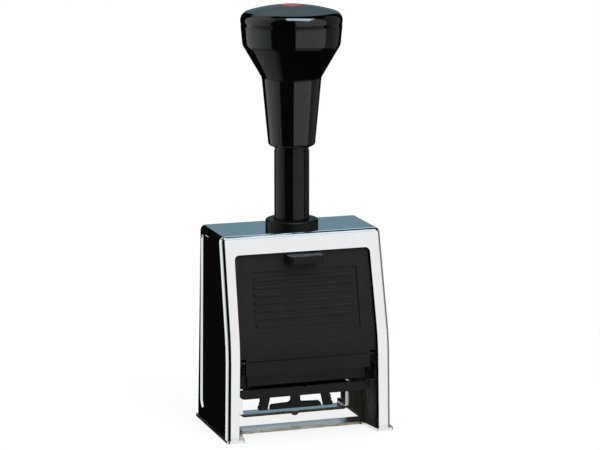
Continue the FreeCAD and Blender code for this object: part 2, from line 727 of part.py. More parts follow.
def cam_slot(pivot_z, arm, start_deg, swing_deg, half, x_low, x_high):
    """Slot swept by a pin that turns about a pivot while the pivot goes down with the plunger."""
    steps = 12
    path = []
    for i in range(steps + 1):
        share = i / steps
        offset = polar(arm, start_deg + swing_deg * share)
        path.append(vec(0, STEM_Y + offset[0], pivot_z - STROKE * share + offset[1]))
    sides = ([], [])
    for i, point in enumerate(path):
        ahead = (path[min(i + 1, steps)] - path[max(i - 1, 0)]).normalize()
        across = vec(1, 0, 0).cross(ahead) * half
        sides[0].append(point + across)
        sides[1].append(point - across)
    first = (path[0] - path[1]).normalize() * half + path[0]
    last = (path[-1] - path[-2]).normalize() * half + path[-1]
    curves = [Part.BSplineCurve(), Part.BSplineCurve()]
    curves[0].interpolate(sides[0])
    curves[1].interpolate(sides[1])
    edges = [curves[0].toShape(), Part.Arc(sides[0][-1], last, sides[1][-1]).toShape(),
             curves[1].toShape(), Part.Arc(sides[1][0], first, sides[0][0]).toShape()]
    wire = Part.Wire(Part.__sortEdges__(edges))
    wire.translate(vec(x_low, 0, 0))
    return Part.Face(wire).extrude(vec(x_high - x_low, 0, 0))


def make_rail(cam):
    """Right-hand rail; the cam slot is cut by the caller's tool."""
    corners = [(RAIL_FRONT_Y, PLATE), (RAIL_FRONT_Y, RAIL_TOP_Z, RAIL_R),
               (RAIL_REAR_Y, RAIL_TOP_Z, RAIL_R), (RAIL_REAR_Y, PLATE)]
    rail = slab("x", corners, RAIL_IN, RAIL_OUT)
    shoe = SHOE_HALF + RUN_FIT
    groove = block((RAIL_IN - OVER, RAIL_IN + GROOVE_DEPTH), (SHOE_Y - shoe, SHOE_Y + shoe),
                   (SHOE_LOW_Z - STROKE - GAP, BRIDGE_TOP_Z + GAP))
    bar = CROSS_HALF_Y + RUN_FIT
    pocket = block((RAIL_IN - OVER, RAIL_IN + CROSS_SINK), (STEM_Y - bar, STEM_Y + bar),
                   (CROSS_Z, CROSS_TOP_Z))
    holes = [make_rail_screw(x, y) for x, y in rail_screw_places() if x > 0]
    return rail.cut([groove, pocket, cam] + holes)


def make_right_rail():
    cam = cam_slot(BAIL_PIVOT_Z, ROLLER_ORBIT_R, ROLLER_START_DEG, BAIL_SWING_DEG, ROLLER_R + RUN_FIT * 2,
                   RAIL_IN - OVER, RAIL_IN + SLOT_DEPTH)
    return make_rail(cam)


def make_left_rail():
    cam = cam_slot(AXLE_Z, PAWL_ARM, PAWL_START_DEG, PAWL_SWING_DEG, PAWL_SHAFT_R + RUN_FIT * 2,
                   RAIL_IN - OVER, RAIL_IN + SLOT_DEPTH)
    return mirrored(make_rail(cam))


def make_cross_bar():
    half = RAIL_IN + CROSS_SINK
    return block((-half, half), (STEM_Y - CROSS_HALF_Y, STEM_Y + CROSS_HALF_Y), (CROSS_Z, CROSS_TOP_Z))


# Return spring

def make_spring_seat():
    inner = SPRING_OUT_R - 2 * SPRING_WIRE_R - GAP
    corners = [(0, CROSS_TOP_Z), (STEM_BORE_R - GAP, CROSS_TOP_Z), (STEM_BORE_R - GAP, SEAT_TOP_Z),
               (inner, SEAT_TOP_Z), (inner, SEAT_TOP_Z + SEAT_SPIGOT_H), (0, SEAT_TOP_Z + SEAT_SPIGOT_H)]
    return turned(corners)


def spring_height(turn):
    """Height of the wire's centre after so many turns: closed at both ends, open between."""
    low = SEAT_TOP_Z + SPRING_WIRE_R
    high = PLUG_LOW_Z - SPRING_WIRE_R
    closed = 2 * SPRING_WIRE_R + GAP + RUN_FIT * 2
    total = SPRING_TURNS + 2 * SPRING_CLOSED_TURNS
    open_rise = high - low - 2 * closed * SPRING_CLOSED_TURNS
    if turn <= SPRING_CLOSED_TURNS:
        return low + closed * turn
    if turn >= total - SPRING_CLOSED_TURNS:
        return high - closed * (total - turn)
    return low + closed * SPRING_CLOSED_TURNS + open_rise * (turn - SPRING_CLOSED_TURNS) / SPRING_TURNS


def biarc(start, start_dir, end, end_dir):
    """Two tangent arcs from start to end that keep both directions."""
    chord = end - start
    total = start_dir + end_dir
    lead = chord.dot(total)
    spread = 2 * (1 - start_dir.dot(end_dir))
    length = (-lead + math.sqrt(lead * lead + spread * chord.dot(chord))) / spread
    joint = (start + end + (start_dir - end_dir) * length) * 0.5
    arcs = []
    for base, direction, far in ((start, start_dir, joint), (joint, None, end)):
        if direction is None:
            direction = ((end - end_dir * length) - (start + start_dir * length)).normalize()
        gap = far - base
        along = direction * gap.dot(direction)
        across = (gap - along)
        radius = gap.dot(gap) / (2 * across.Length)
        centre = base + across.normalize() * radius
        middle = ((base - centre) + (far - centre)).normalize() * radius + centre
        arcs.append(Part.Arc(base, middle, far).toShape())
    return arcs


def make_return_spring():
    radius = SPRING_OUT_R - SPRING_WIRE_R
    halves = 2 * (SPRING_TURNS + 2 * SPRING_CLOSED_TURNS)
    points = []
    for i in range(halves + 1):
        angle = math.pi * i
        points.append(vec(radius * math.cos(angle), STEM_Y + radius * math.sin(angle), spring_height(i / 2)))
    rises = [points[i + 1].z - points[i].z for i in range(halves)]
    directions = []
    for i in range(halves + 1):
        rise = (rises[max(i - 1, 0)] + rises[min(i, halves - 1)]) / 2
        side = math.cos(math.pi * i)
        directions.append(vec(0, side * math.pi * radius, rise).normalize())
    edges = []
    for i in range(halves):
        edges += biarc(points[i], directions[i], points[i + 1], directions[i + 1])
    ring = Part.Circle(points[0], directions[0], SPRING_WIRE_R).toShape()
    shell = Part.BRepOffsetAPI.MakePipeShell(Part.Wire(edges))
    shell.add(Part.Wire([ring]))
    shell.build()
    shell.makeSolid()
    print("spring least gap to itself", round(min(spring_height(1 + i / 2) - spring_height(i / 2)
          for i in range(halves - 1)) - 2 * SPRING_WIRE_R, 3))
    return shell.shape()


# Stem and knob

def make_stem_tube():
    ring_top = STEM_RING_Z + STEM_RING_H
    ring_r = STEM_R - STEM_RING_DEPTH
    corners = [(0, STEM_NECK_LOW_Z), (STEM_NECK_R, STEM_NECK_LOW_Z), (STEM_NECK_R, BRIDGE_TOP_Z),
               (STEM_R, BRIDGE_TOP_Z), (STEM_R, STEM_RING_Z), (ring_r, STEM_RING_Z), (ring_r, ring_top),
               (STEM_R, ring_top), (STEM_R, STEM_TOP_Z), (STEM_BORE_R, STEM_TOP_Z),
               (STEM_BORE_R, STEM_FLOOR_Z), (0, STEM_FLOOR_Z)]
    half = CROSS_HALF_Y + GAP
    slot = block((-STEM_R - OVER, STEM_R + OVER), (STEM_Y - half, STEM_Y + half),
                 (STEM_FLOOR_Z, CROSS_TOP_Z + STROKE + GAP))
    return turned(corners).cut(slot)


def make_stem_plug():
    screw = rod("z", KNOB_SCREW_R, (0, STEM_Y), STEM_TOP_Z + KNOB_WEB - KNOB_SCREW_LENGTH, STEM_TOP_Z + OVER)
    return rod("z", STEM_BORE_R, (0, STEM_Y), PLUG_LOW_Z, STEM_TOP_Z).cut(screw)


def knob_side(inset):
    """Side of the knob from its foot to the seam, moved inwards."""
    return [(KNOB_WAIST_R - inset, KNOB_WAIST_Z, KNOB_WAIST_BLEND),
            (KNOB_RIM_R - inset, KNOB_RIM_Z, KNOB_RIM_BLEND),
            (KNOB_SEAM_R - inset, KNOB_SEAM_Z - KNOB_SEAM_GAP)]


def make_knob_grip():
    web_top = STEM_TOP_Z + KNOB_WEB
    outer = turned([(0, KNOB_LOW_Z), (KNOB_LOW_R, KNOB_LOW_Z, KNOB_LOW_EDGE)] + knob_side(0)
                   + [(0, KNOB_SEAM_Z - KNOB_SEAM_GAP)])
    socket = rod("z", STEM_R, (0, STEM_Y), KNOB_LOW_Z - OVER, STEM_TOP_Z)
    cup = turned([(0, web_top), (KNOB_WAIST_R - KNOB_WALL, web_top)] + knob_side(KNOB_WALL)
                 + [(KNOB_SEAM_R - KNOB_WALL, KNOB_SEAM_Z + OVER), (0, KNOB_SEAM_Z + OVER)])
    hole = rod("z", KNOB_SCREW_R, (0, STEM_Y), STEM_TOP_Z - OVER, web_top + OVER)
    return outer.cut([socket, cup, hole])


def make_knob_cap():
    """Domed head: bevel, shoulder arc, crease, then a shallow dome, on a spigot in the grip's cup."""
    spigot_r = KNOB_RIM_R - KNOB_WALL - CAP_FIT
    under_z = KNOB_SEAM_Z - KNOB_SEAM_GAP
    low_z = under_z - CAP_SPIGOT_H
    ring_r = KNOB_SEAM_R - KNOB_SEAM_DEPTH
    seam_z = KNOB_SEAM_Z
    dome_z = CAP_TOP_Z - (CAP_TOP_Z - CAP_CREASE_Z) / 4
    bevel_z = seam_z + CAP_BEVEL_H
    points = {"side_low": vec(CAP_SIDE_R, 0, bevel_z), "side_top": vec(CAP_SIDE_R, 0, CAP_SIDE_Z),
              "shoulder": vec(CAP_SIDE_R - CAP_SHOULDER_IN, 0, CAP_SIDE_Z + CAP_SHOULDER_RISE),
              "crease": vec(CAP_CREASE_R, 0, CAP_CREASE_Z),
              "dome": vec(CAP_CREASE_R / 2, 0, dome_z), "top": vec(0, 0, CAP_TOP_Z)}
    path = [vec(0, 0, low_z), vec(spigot_r, 0, low_z), vec(spigot_r, 0, under_z), vec(ring_r, 0, under_z),
            vec(ring_r, 0, seam_z), vec(CAP_SIDE_R - CAP_BEVEL_IN, 0, seam_z), points["side_low"],
            points["side_top"]]
    edges = [Part.LineSegment(path[i], path[i + 1]).toShape() for i in range(len(path) - 1)]
    edges.append(Part.Arc(points["side_top"], points["shoulder"], points["crease"]).toShape())
    edges.append(Part.Arc(points["crease"], points["dome"], points["top"]).toShape())
    edges.append(Part.LineSegment(points["top"], path[0]).toShape())
    cap = Part.Face(Part.Wire(edges)).revolve(vec(0, 0, 0), vec(0, 0, 1), 360)
    cap.translate(vec(0, STEM_Y, 0))
    inner_r = spigot_r - CAP_WALL
    hollow = rod("z", inner_r, (0, STEM_Y), low_z - OVER, CAP_CREASE_Z - CAP_WALL)
    well = rod("z", BUTTON_R, (0, STEM_Y), CAP_TOP_Z - BUTTON_H, CAP_TOP_Z + OVER)
    return cap.cut([hollow, well])


def make_knob_button():
    low = CAP_TOP_Z - BUTTON_H
    return turned([(0, low), (BUTTON_R, low), (BUTTON_R, CAP_TOP_Z, BUTTON_H / 2), (0, CAP_TOP_Z)])


def make_knob_screw():
    web_top = STEM_TOP_Z + KNOB_WEB
    head_top = web_top + KNOB_SCREW_HEAD_H
    foot = web_top - KNOB_SCREW_LENGTH
    return turned([(0, foot), (KNOB_SCREW_R, foot), (KNOB_SCREW_R, web_top), (KNOB_SCREW_HEAD_R, web_top),
                   (KNOB_SCREW_HEAD_R, head_top, KNOB_SCREW_HEAD_H / 4), (0, head_top)])


# Carriage

def side_screw_places():
    z = (BRIDGE_LOW_Z + BRIDGE_TOP_Z) / 2
    return [(BRIDGE_FRONT_Y + SIDE_SCREW_FRONT_EDGE, z), (BRIDGE_REAR_Y - SIDE_SCREW_REAR_EDGE, z)]


def make_side_screw(place):
    """Right-hand screw: pan head outside the side plate, shank into the bridge's end."""
    head = rod("x", SIDE_SCREW_HEAD_R, place, SIDE_OUT, SIDE_OUT + SIDE_SCREW_HEAD_H)
    return joined(head, rod("x", SIDE_SCREW_R, place, SIDE_OUT - SIDE_SCREW_LENGTH, SIDE_OUT))


def make_bridge():
    bridge = block((-SIDE_IN, SIDE_IN), (BRIDGE_FRONT_Y, BRIDGE_REAR_Y), (BRIDGE_LOW_Z, BRIDGE_TOP_Z))
    hole = rod("z", STEM_NECK_R, (0, STEM_Y), BRIDGE_LOW_Z - OVER, BRIDGE_TOP_Z + OVER)
    screws = [make_side_screw(place) for place in side_screw_places()]
    return bridge.cut([hole] + screws + [mirrored(screw) for screw in screws])


def make_stem_nut():
    nut = hex_prism(STEM_NUT_R, BRIDGE_LOW_Z - STEM_NUT_H, BRIDGE_LOW_Z)
    return nut.cut(rod("z", STEM_NECK_R, (0, STEM_Y), BRIDGE_LOW_Z - STEM_NUT_H - OVER, BRIDGE_LOW_Z + OVER))


def arc_slot():
    """Slot in the left side plate for the pawl shaft, round the wheel axle."""
    half = PAWL_SHAFT_R + GAP
    low, high = -SIDE_OUT - OVER, -SIDE_IN + OVER
    ends = [PAWL_START_DEG, PAWL_START_DEG + PAWL_SWING_DEG]
    arcs = []
    for radius in (PAWL_ARM - half, PAWL_ARM + half):
        spots = [about_axle(radius, degrees) for degrees in (ends[0], sum(ends) / 2, ends[1])]
        arcs.append([vec(low, y, z) for y, z in spots])
    wire = Part.Wire([Part.Arc(*arcs[0]).toShape(), Part.LineSegment(arcs[0][2], arcs[1][2]).toShape(),
                      Part.Arc(*arcs[1]).toShape(), Part.LineSegment(arcs[1][0], arcs[0][0]).toShape()])
    slot = Part.Face(wire).extrude(vec(high - low, 0, 0))
    rounds = [rod("x", half, about_axle(PAWL_ARM, degrees), low, high) for degrees in ends]
    return joined(slot, *rounds)


def make_carriage_side():
    """Right-hand side plate: wide at the bridge, narrow round the axle."""
    foot = AXLE_Z - SIDE_FOOT_DROP
    corners = [(STEM_Y - SIDE_FOOT_HALF, foot, SIDE_R), (STEM_Y + SIDE_FOOT_HALF, foot, SIDE_R),
               (BRIDGE_REAR_Y, BAIL_PIVOT_Z + SIDE_FOOT_HALF, SIDE_R), (BRIDGE_REAR_Y, BRIDGE_TOP_Z),
               (BRIDGE_FRONT_Y, BRIDGE_TOP_Z), (SIDE_FRONT_Y, SIDE_SHOULDER_Z, SIDE_R),
               (SIDE_FRONT_Y, SIDE_WAIST_Z, SIDE_R), (STEM_Y - SIDE_FOOT_HALF, AXLE_Z, SIDE_R)]
    side = slab("x", corners, SIDE_IN, SIDE_OUT)
    holes = [rod("x", AXLE_R, (STEM_Y, AXLE_Z), SIDE_IN - OVER, SIDE_OUT + OVER),
             rod("x", BAIL_PIN_R, (STEM_Y, BAIL_PIVOT_Z), SIDE_IN - OVER, SIDE_OUT + OVER)]
    return side.cut(holes + [make_side_screw(place) for place in side_screw_places()])


def make_guide_shoe():
    """Block from the side plate out into the rail's groove."""
    reach = RAIL_IN + GROOVE_DEPTH - GAP
    corners = [(SIDE_OUT, SHOE_LOW_Z, SHOE_EDGE), (reach, SHOE_LOW_Z, SHOE_EDGE),
               (reach, BRIDGE_TOP_Z, SHOE_EDGE), (SIDE_OUT, BRIDGE_TOP_Z, SHOE_EDGE)]
    shoe = slab("y", corners, SHOE_Y - SHOE_HALF, SHOE_Y + SHOE_HALF)
    return shoe.cut([rod("x", SIDE_SCREW_HEAD_R, place, SIDE_OUT - OVER, SIDE_OUT + SIDE_SCREW_HEAD_H)
                     for place in side_screw_places()])


def make_wheel_axle():
    end = SIDE_OUT + CLIP_THICK + AXLE_END
    return rod("x", AXLE_R, (STEM_Y, AXLE_Z), -end, end)


def ring_x(outer, inner, place, low, high):
    return rod("x", outer, place, low, high).cut(rod("x", inner, place, low - OVER, high + OVER))


def make_axle_clips():
    return both_sides(ring_x(CLIP_R, AXLE_R, (STEM_Y, AXLE_Z), SIDE_OUT, SIDE_OUT + CLIP_THICK))


def make_spacer_bushes():
    low = CHEEK_OUT + GAP
    return both_sides(ring_x(CLIP_R, AXLE_R, (STEM_Y, AXLE_Z), low, SIDE_IN))


# Number wheels

def wheel_left(index):
    """Left face of a wheel; its type drum comes first, then its ratchet."""
    middle = (index - (WHEEL_COUNT - 1) / 2) * WHEEL_PITCH
    return middle - (TYPE_WIDTH + RATCHET_WIDTH) / 2


def make_number_wheel(index):
    """Ten flat type pads round a drum, one of them straight down."""
    flat = math.sqrt(WHEEL_R ** 2 - TYPE_HALF ** 2)
    root = flat - TYPE_RELIEF
    foot = TYPE_HALF + TYPE_DRAFT
    corners = []
    for digit in range(DIGITS):
        turn = math.pi * 2 * digit / DIGITS
        for side, height in ((-foot, root), (-TYPE_HALF, flat), (TYPE_HALF, flat), (foot, root)):
            y = side * math.cos(turn) + height * math.sin(turn)
            z = side * math.sin(turn) - height * math.cos(turn)
            corners.append((STEM_Y + y, AXLE_Z + z))
    left = wheel_left(index)
    drum = slab("x", corners, left, left + TYPE_WIDTH)
    return drum.cut(rod("x", AXLE_R + RUN_FIT, (STEM_Y, AXLE_Z), left - OVER, left + TYPE_WIDTH + OVER))


def make_ratchet_wheel(index):
    """Ten saw teeth, one for each digit."""
    corners = []
    for tooth in range(DIGITS):
        turn = 360 * tooth / DIGITS
        corners.append(about_axle(RATCHET_R, turn))
        corners.append(about_axle(RATCHET_ROOT_R, turn + RATCHET_LEAN_DEG))
    left = wheel_left(index) + TYPE_WIDTH
    disc = slab("x", corners, left, left + RATCHET_WIDTH)
    return disc.cut(rod("x", AXLE_R + RUN_FIT, (STEM_Y, AXLE_Z), left - OVER, left + RATCHET_WIDTH + OVER))


def finger_left(index):
    """A finger stands in the middle of the gap over a ratchet, between two type drums."""
    return wheel_left(index) + (TYPE_WIDTH + WHEEL_PITCH - FINGER_WIDTH) / 2


# Pawl rocker

def bent_strip(points, thick):
    """Corners of a strip with one face along these points and the other offset to their right."""
    normals = []
    for first, second in zip(points, points[1:]):
        span = math.hypot(second[0] - first[0], second[1] - first[1])
        normals.append(((second[1] - first[1]) / span, -(second[0] - first[0]) / span))
    far = []
    for i, point in enumerate(points):
        before = normals[max(i - 1, 0)]
        after = normals[min(i, len(normals) - 1)]
        share = thick / (1 + before[0] * after[0] + before[1] * after[1])
        far.append((point[0] + (before[0] + after[0]) * share, point[1] + (before[1] + after[1]) * share))
    return points + far[::-1]


def link_plate(first, first_r, second, second_r, low, high):
    """Plate with a round end about each of two points and straight sides between."""
    span = math.hypot(second[0] - first[0], second[1] - first[1])
    along = ((second[0] - first[0]) / span, (second[1] - first[1]) / span)
    across = (-along[1], along[0])
    lean = (first_r - second_r) / span
    level = math.sqrt(1 - lean * lean)
    corners = []
    for centre, radius, side in ((first, first_r, 1), (second, second_r, 1),
                                 (second, second_r, -1), (first, first_r, -1)):
        corners.append((centre[0] + radius * (along[0] * lean + side * across[0] * level),
                        centre[1] + radius * (along[1] * lean + side * across[1] * level)))
    ends = [rod("x", first_r, first, low, high), rod("x", second_r, second, low, high)]
    return joined(slab("x", corners, low, high), *ends)


def make_pawl_rocker():
    axle = (STEM_Y, AXLE_Z)
    shaft = about_axle(PAWL_ARM, PAWL_START_DEG)
    high = CHEEK_OUT
    cheek = link_plate(axle, CHEEK_HUB_R, shaft, CHEEK_ARM_R, CHEEK_IN, high)
    tie_deg = PAWL_START_DEG - TIE_LAG_DEG
    low_spot = about_axle(TIE_LOW_R, tie_deg)
    high_spot = about_axle(TIE_HIGH_R, tie_deg)
    step = polar(TIE_HALF, tie_deg + 90)
    corners = [(spot[0] + side * step[0], spot[1] + side * step[1])
               for spot, side in ((low_spot, -1), (high_spot, -1), (high_spot, 1), (low_spot, 1))]
    tie = slab("x", corners, -high, high)
    middle = about_axle((TIE_LOW_R + TIE_HIGH_R) / 2, tie_deg)
    web = link_plate(shaft, CHEEK_ARM_R, middle, TIE_HALF, CHEEK_IN, high)
    cheek = joined(cheek, web)
    rocker = joined(tie, cheek, mirrored(cheek))
    return rocker.cut([rod("x", AXLE_R + RUN_FIT, axle, -SIDE_IN, SIDE_IN),
                       rod("x", PAWL_SHAFT_R, shaft, -SIDE_IN, SIDE_IN)])


def make_pawl_shaft():
    return rod("x", PAWL_SHAFT_R, about_axle(PAWL_ARM, PAWL_START_DEG), -RAIL_IN - SLOT_DEPTH + GAP,
               CHEEK_OUT + AXLE_END)


def make_pawl_comb():
    """Sleeve on the shaft with one finger over each ratchet."""
    shaft = about_axle(PAWL_ARM, PAWL_START_DEG)
    half = CHEEK_IN - RUN_FIT
    sleeve = rod("x", COMB_HUB_R, shaft, -half, half)
    tip = about_axle(RATCHET_R + GAP + FINGER_TIP, PAWL_START_DEG + FINGER_LEAD_DEG)
    fingers = []
    for index in range(WHEEL_COUNT):
        left = finger_left(index)
        fingers.append(link_plate(shaft, FINGER_ROOT, tip, FINGER_TIP, left, left + FINGER_WIDTH))
    return joined(sleeve, *fingers).cut(rod("x", PAWL_SHAFT_R, shaft, -SIDE_IN, SIDE_IN))


def make_pawl_spring():
    """Flat blade on the rocker's tie, bent up to press on the comb's sleeve."""
    tie_deg = PAWL_START_DEG - TIE_LAG_DEG
    face = about_axle(TIE_HIGH_R, tie_deg)
    step = polar(TIE_HALF, tie_deg + 90)
    back = (face[0] - step[0], face[1] - step[1])
    knee = (face[0] + step[0], face[1] + step[1])
    shaft = about_axle(PAWL_ARM, PAWL_START_DEG)
    reach = math.hypot(knee[0] - shaft[0], knee[1] - shaft[1])
    turn = math.atan2(knee[1] - shaft[1], knee[0] - shaft[0]) + math.acos(COMB_HUB_R / reach)
    touch = (shaft[0] + COMB_HUB_R * math.cos(turn), shaft[1] + COMB_HUB_R * math.sin(turn))
    past = PAWL_SPRING_LIP / reach
    end = (touch[0] + (touch[0] - knee[0]) * past, touch[1] + (touch[1] - knee[1]) * past)
    return slab("x", bent_strip([back, knee, end], PAWL_SPRING_THICK), -PAWL_SPRING_HALF, PAWL_SPRING_HALF)


def make_detent_comb():
    """Spring sheet under the bridge, with a finger bent in over each ratchet."""
    rear = BRIDGE_REAR_Y
    under = BRIDGE_LOW_Z - DETENT_SHEET
    flange = block((-DETENT_HALF, DETENT_HALF), (rear - DETENT_FLANGE, rear), (under, BRIDGE_LOW_Z))
    tip = about_axle(RATCHET_R + GAP, -DETENT_TIP_DEG)
    lift = polar(DETENT_SHEET, -DETENT_TIP_DEG)
    top = BRIDGE_LOW_Z - DETENT_SHEET / 2
    corners = [(rear - DETENT_SHEET, top), (rear, top),
               (rear, DETENT_KNEE_Z - DETENT_SHEET / 2), tip, (tip[0] + lift[0], tip[1] + lift[1]),
               (rear - DETENT_SHEET, DETENT_KNEE_Z)]
    fingers = []
    for index in range(WHEEL_COUNT):
        left = finger_left(index)
        fingers.append(slab("x", corners, left, left + FINGER_WIDTH))
    return joined(flange, *fingers)


# Pad bail

def roller_place():
    offset = polar(ROLLER_ORBIT_R, ROLLER_START_DEG)
    return (STEM_Y + offset[0], BAIL_PIVOT_Z + offset[1])


def make_bail_arm():
    """Right-hand arm, without the roller's ear."""
    corners = [(BAIL_FRONT_Y, BAIL_BEND_TOP_Z), (BAIL_REAR_Y, BAIL_BEND_TOP_Z),
               (BAIL_REAR_Y, BAIL_PIVOT_Z), (BAIL_FRONT_Y, BAIL_PIVOT_Z)]
    eye = rod("x", BAIL_EYE_R, (STEM_Y, BAIL_PIVOT_Z), BAIL_IN, BAIL_OUT)
    shelf = block((BAIL_IN - SHELF_DEPTH, BAIL_IN), (BAIL_FRONT_Y, BAIL_REAR_Y),
                  (TRAY_LOW_Z - SHELF_THICK, TRAY_LOW_Z))
    return joined(slab("x", corners, BAIL_IN, BAIL_OUT), eye, shelf)


def make_pad_bail():
    """Bar under the wheels, bent up at both ends into the arms."""
    top = BAIL_LOW_Z + BAIL_BAR
    inner_r = BAIL_BEND_R - BAIL_BAR
    corners = [(-BAIL_OUT, BAIL_BEND_TOP_Z), (-BAIL_OUT, BAIL_LOW_Z, BAIL_BEND_R),
               (BAIL_OUT, BAIL_LOW_Z, BAIL_BEND_R), (BAIL_OUT, BAIL_BEND_TOP_Z),
               (BAIL_IN, BAIL_BEND_TOP_Z), (BAIL_IN, top, inner_r),
               (-BAIL_IN, top, inner_r), (-BAIL_IN, BAIL_BEND_TOP_Z)]
    bar = slab("y", corners, BAIL_FRONT_Y, BAIL_REAR_Y)
    nub_corners = [(-NUB_HALF, top), (-NUB_HALF, BAIL_LOW_Z - NUB_DROP, NUB_R),
                   (NUB_HALF, BAIL_LOW_Z - NUB_DROP, NUB_R), (NUB_HALF, top)]
    nub = slab("y", nub_corners, BAIL_FRONT_Y - NUB_DEPTH / 2, BAIL_FRONT_Y + NUB_DEPTH / 2)
    lug_corners = [(LUG_IN, top), (LUG_IN, LUG_TOP_Z, LUG_R), (LUG_OUT, LUG_TOP_Z, LUG_R), (LUG_OUT, top)]
    lug = slab("y", lug_corners, BAIL_REAR_Y - LUG_THICK, BAIL_REAR_Y)
    arm = make_bail_arm()
    ear = link_plate((STEM_Y, BAIL_PIVOT_Z), BAIL_EYE_R, roller_place(), ROLLER_EAR_R, BAIL_IN, BAIL_OUT)
    bail = joined(bar, nub, lug, mirrored(lug), arm, mirrored(arm), ear)
    pivot = rod("x", BAIL_PIN_R + RUN_FIT, (STEM_Y, BAIL_PIVOT_Z), -RAIL_IN, RAIL_IN)
    return bail.cut([pivot, rod("x", ROLLER_PIN_R, roller_place(), SIDE_IN, RAIL_IN)])


def make_bail_pivot_pins():
    """Headed pin in each side plate, with a shoulder that keeps the arm off the plate."""
    place = (STEM_Y, BAIL_PIVOT_Z)
    pin = rod("x", BAIL_PIN_R, place, SIDE_IN, BAIL_OUT + GAP)
    shoulder = rod("x", BAIL_PIN_HEAD_R, place, SIDE_OUT, BAIL_IN - GAP)
    head = rod("x", BAIL_PIN_HEAD_R, place, BAIL_OUT + GAP, BAIL_OUT + GAP + BAIL_PIN_HEAD_H)
    return both_sides(joined(pin, shoulder, head))


def make_bail_roller():
    place = roller_place()
    roller = rod("x", ROLLER_R, place, BAIL_OUT, RAIL_IN + ROLLER_REACH)
    return joined(roller, rod("x", ROLLER_PIN_R, place, BAIL_IN, BAIL_OUT))


# Pad cassette

def make_pad_cassette():
    """Shallow tray with a raised well for the pad and a wide front lip."""
    floor_top = TRAY_LOW_Z + TRAY_FLOOR
    corners = [(-TRAY_HALF, TRAY_FRONT_Y), (TRAY_HALF, TRAY_FRONT_Y),
               (TRAY_HALF, TRAY_REAR_Y, TRAY_R), (-TRAY_HALF, TRAY_REAR_Y, TRAY_R)]
    floor = slab("z", corners, TRAY_LOW_Z, floor_top)
    wall_x = PAD_HALF + GAP + WELL_WALL
    wall_y = (PAD_FRONT_Y - GAP - WELL_WALL, min(PAD_REAR_Y + GAP + WELL_WALL, TRAY_REAR_Y))
    well = block((-wall_x, wall_x), wall_y, (floor_top, TRAY_RIM_TOP_Z))
    hollow = block((-PAD_HALF - GAP, PAD_HALF + GAP), (PAD_FRONT_Y - GAP, PAD_REAR_Y + GAP),
                   (floor_top, TRAY_RIM_TOP_Z + OVER))
    lip_corners = [(-LIP_HALF, LIP_TOP_Z, LIP_TOP_R), (-LIP_HALF, TRAY_LOW_Z, LIP_R),
                   (LIP_HALF, TRAY_LOW_Z, LIP_R), (LIP_HALF, LIP_TOP_Z, LIP_TOP_R),
                   (LIP_MARK_HALF, LIP_TOP_Z), (0, LIP_TOP_Z - LIP_MARK_DEPTH), (-LIP_MARK_HALF, LIP_TOP_Z)]
    lip = slab("y", lip_corners, LIP_FRONT_Y, TRAY_FRONT_Y)
    return joined(floor, well.cut(hollow), lip)


def make_ink_pad():
    corners = [(-PAD_HALF, PAD_FRONT_Y, PAD_R), (PAD_HALF, PAD_FRONT_Y, PAD_R),
               (PAD_HALF, PAD_REAR_Y, PAD_R), (-PAD_HALF, PAD_REAR_Y, PAD_R)]
    return slab("z", corners, TRAY_LOW_Z + TRAY_FLOOR, PAD_TOP_Z)


def squeeze_leg():
    """Right-hand slanted leg with a serrated outer edge."""
    top = TRAY_LOW_Z - FLANGE_THICK
    height = top - HANDLE_LOW_Z
    slant = (LEG_LOW_OUT - LEG_TOP_OUT) / height
    corners = [(LEG_LOW_IN, HANDLE_LOW_Z), (LEG_TOP_IN, top), (LEG_TOP_OUT, top)]
    first = top - LEG_SMOOTH_TOP
    pitch = (first - HANDLE_LOW_Z - LEG_SMOOTH_LOW) / LEG_TEETH
    for tooth in range(LEG_TEETH):
        z = first - tooth * pitch
        x = LEG_TOP_OUT + (top - z) * slant
        corners += [(x - LEG_TOOTH_DEPTH / 2, z), (x + LEG_TOOTH_DEPTH / 2, z - pitch * LEG_TOOTH_SHARE)]
    corners.append((LEG_LOW_OUT, HANDLE_LOW_Z + LEG_SMOOTH_LOW / 2))
    corners.append((LEG_LOW_OUT - LEG_SMOOTH_LOW / 2, HANDLE_LOW_Z))
    return slab("y", corners, HANDLE_FRONT_Y, HANDLE_FRONT_Y + HANDLE_THICK)


def make_cassette_handle():
    """Anchor grip between two squeeze legs, on a flange under the tray."""
    top = TRAY_LOW_Z - FLANGE_THICK
    foot_top = HANDLE_LOW_Z + ANCHOR_FOOT_H
    half = LEG_TOP_OUT + FLANGE_MARGIN
    front = HANDLE_FRONT_Y - FLANGE_AHEAD
    flange = block((-half, half), (front, front + FLANGE_WIDTH), (top, TRAY_LOW_Z))
    foot_end = foot_top - ANCHOR_FOOT_SLOPE
    corners = [(-ANCHOR_FOOT_HALF, HANDLE_LOW_Z), (-ANCHOR_FOOT_HALF, foot_end, ANCHOR_TIP_R),
               (-ANCHOR_STEM_HALF, foot_top, ANCHOR_FILLET), (-ANCHOR_STEM_HALF, top),
               (ANCHOR_STEM_HALF, top), (ANCHOR_STEM_HALF, foot_top, ANCHOR_FILLET),
               (ANCHOR_FOOT_HALF, foot_end, ANCHOR_TIP_R), (ANCHOR_FOOT_HALF, HANDLE_LOW_Z)]
    anchor = slab("y", corners, HANDLE_FRONT_Y, HANDLE_FRONT_Y + HANDLE_THICK)
    leg = squeeze_leg()
    return joined(flange, anchor, leg, mirrored(leg))


# Front cover

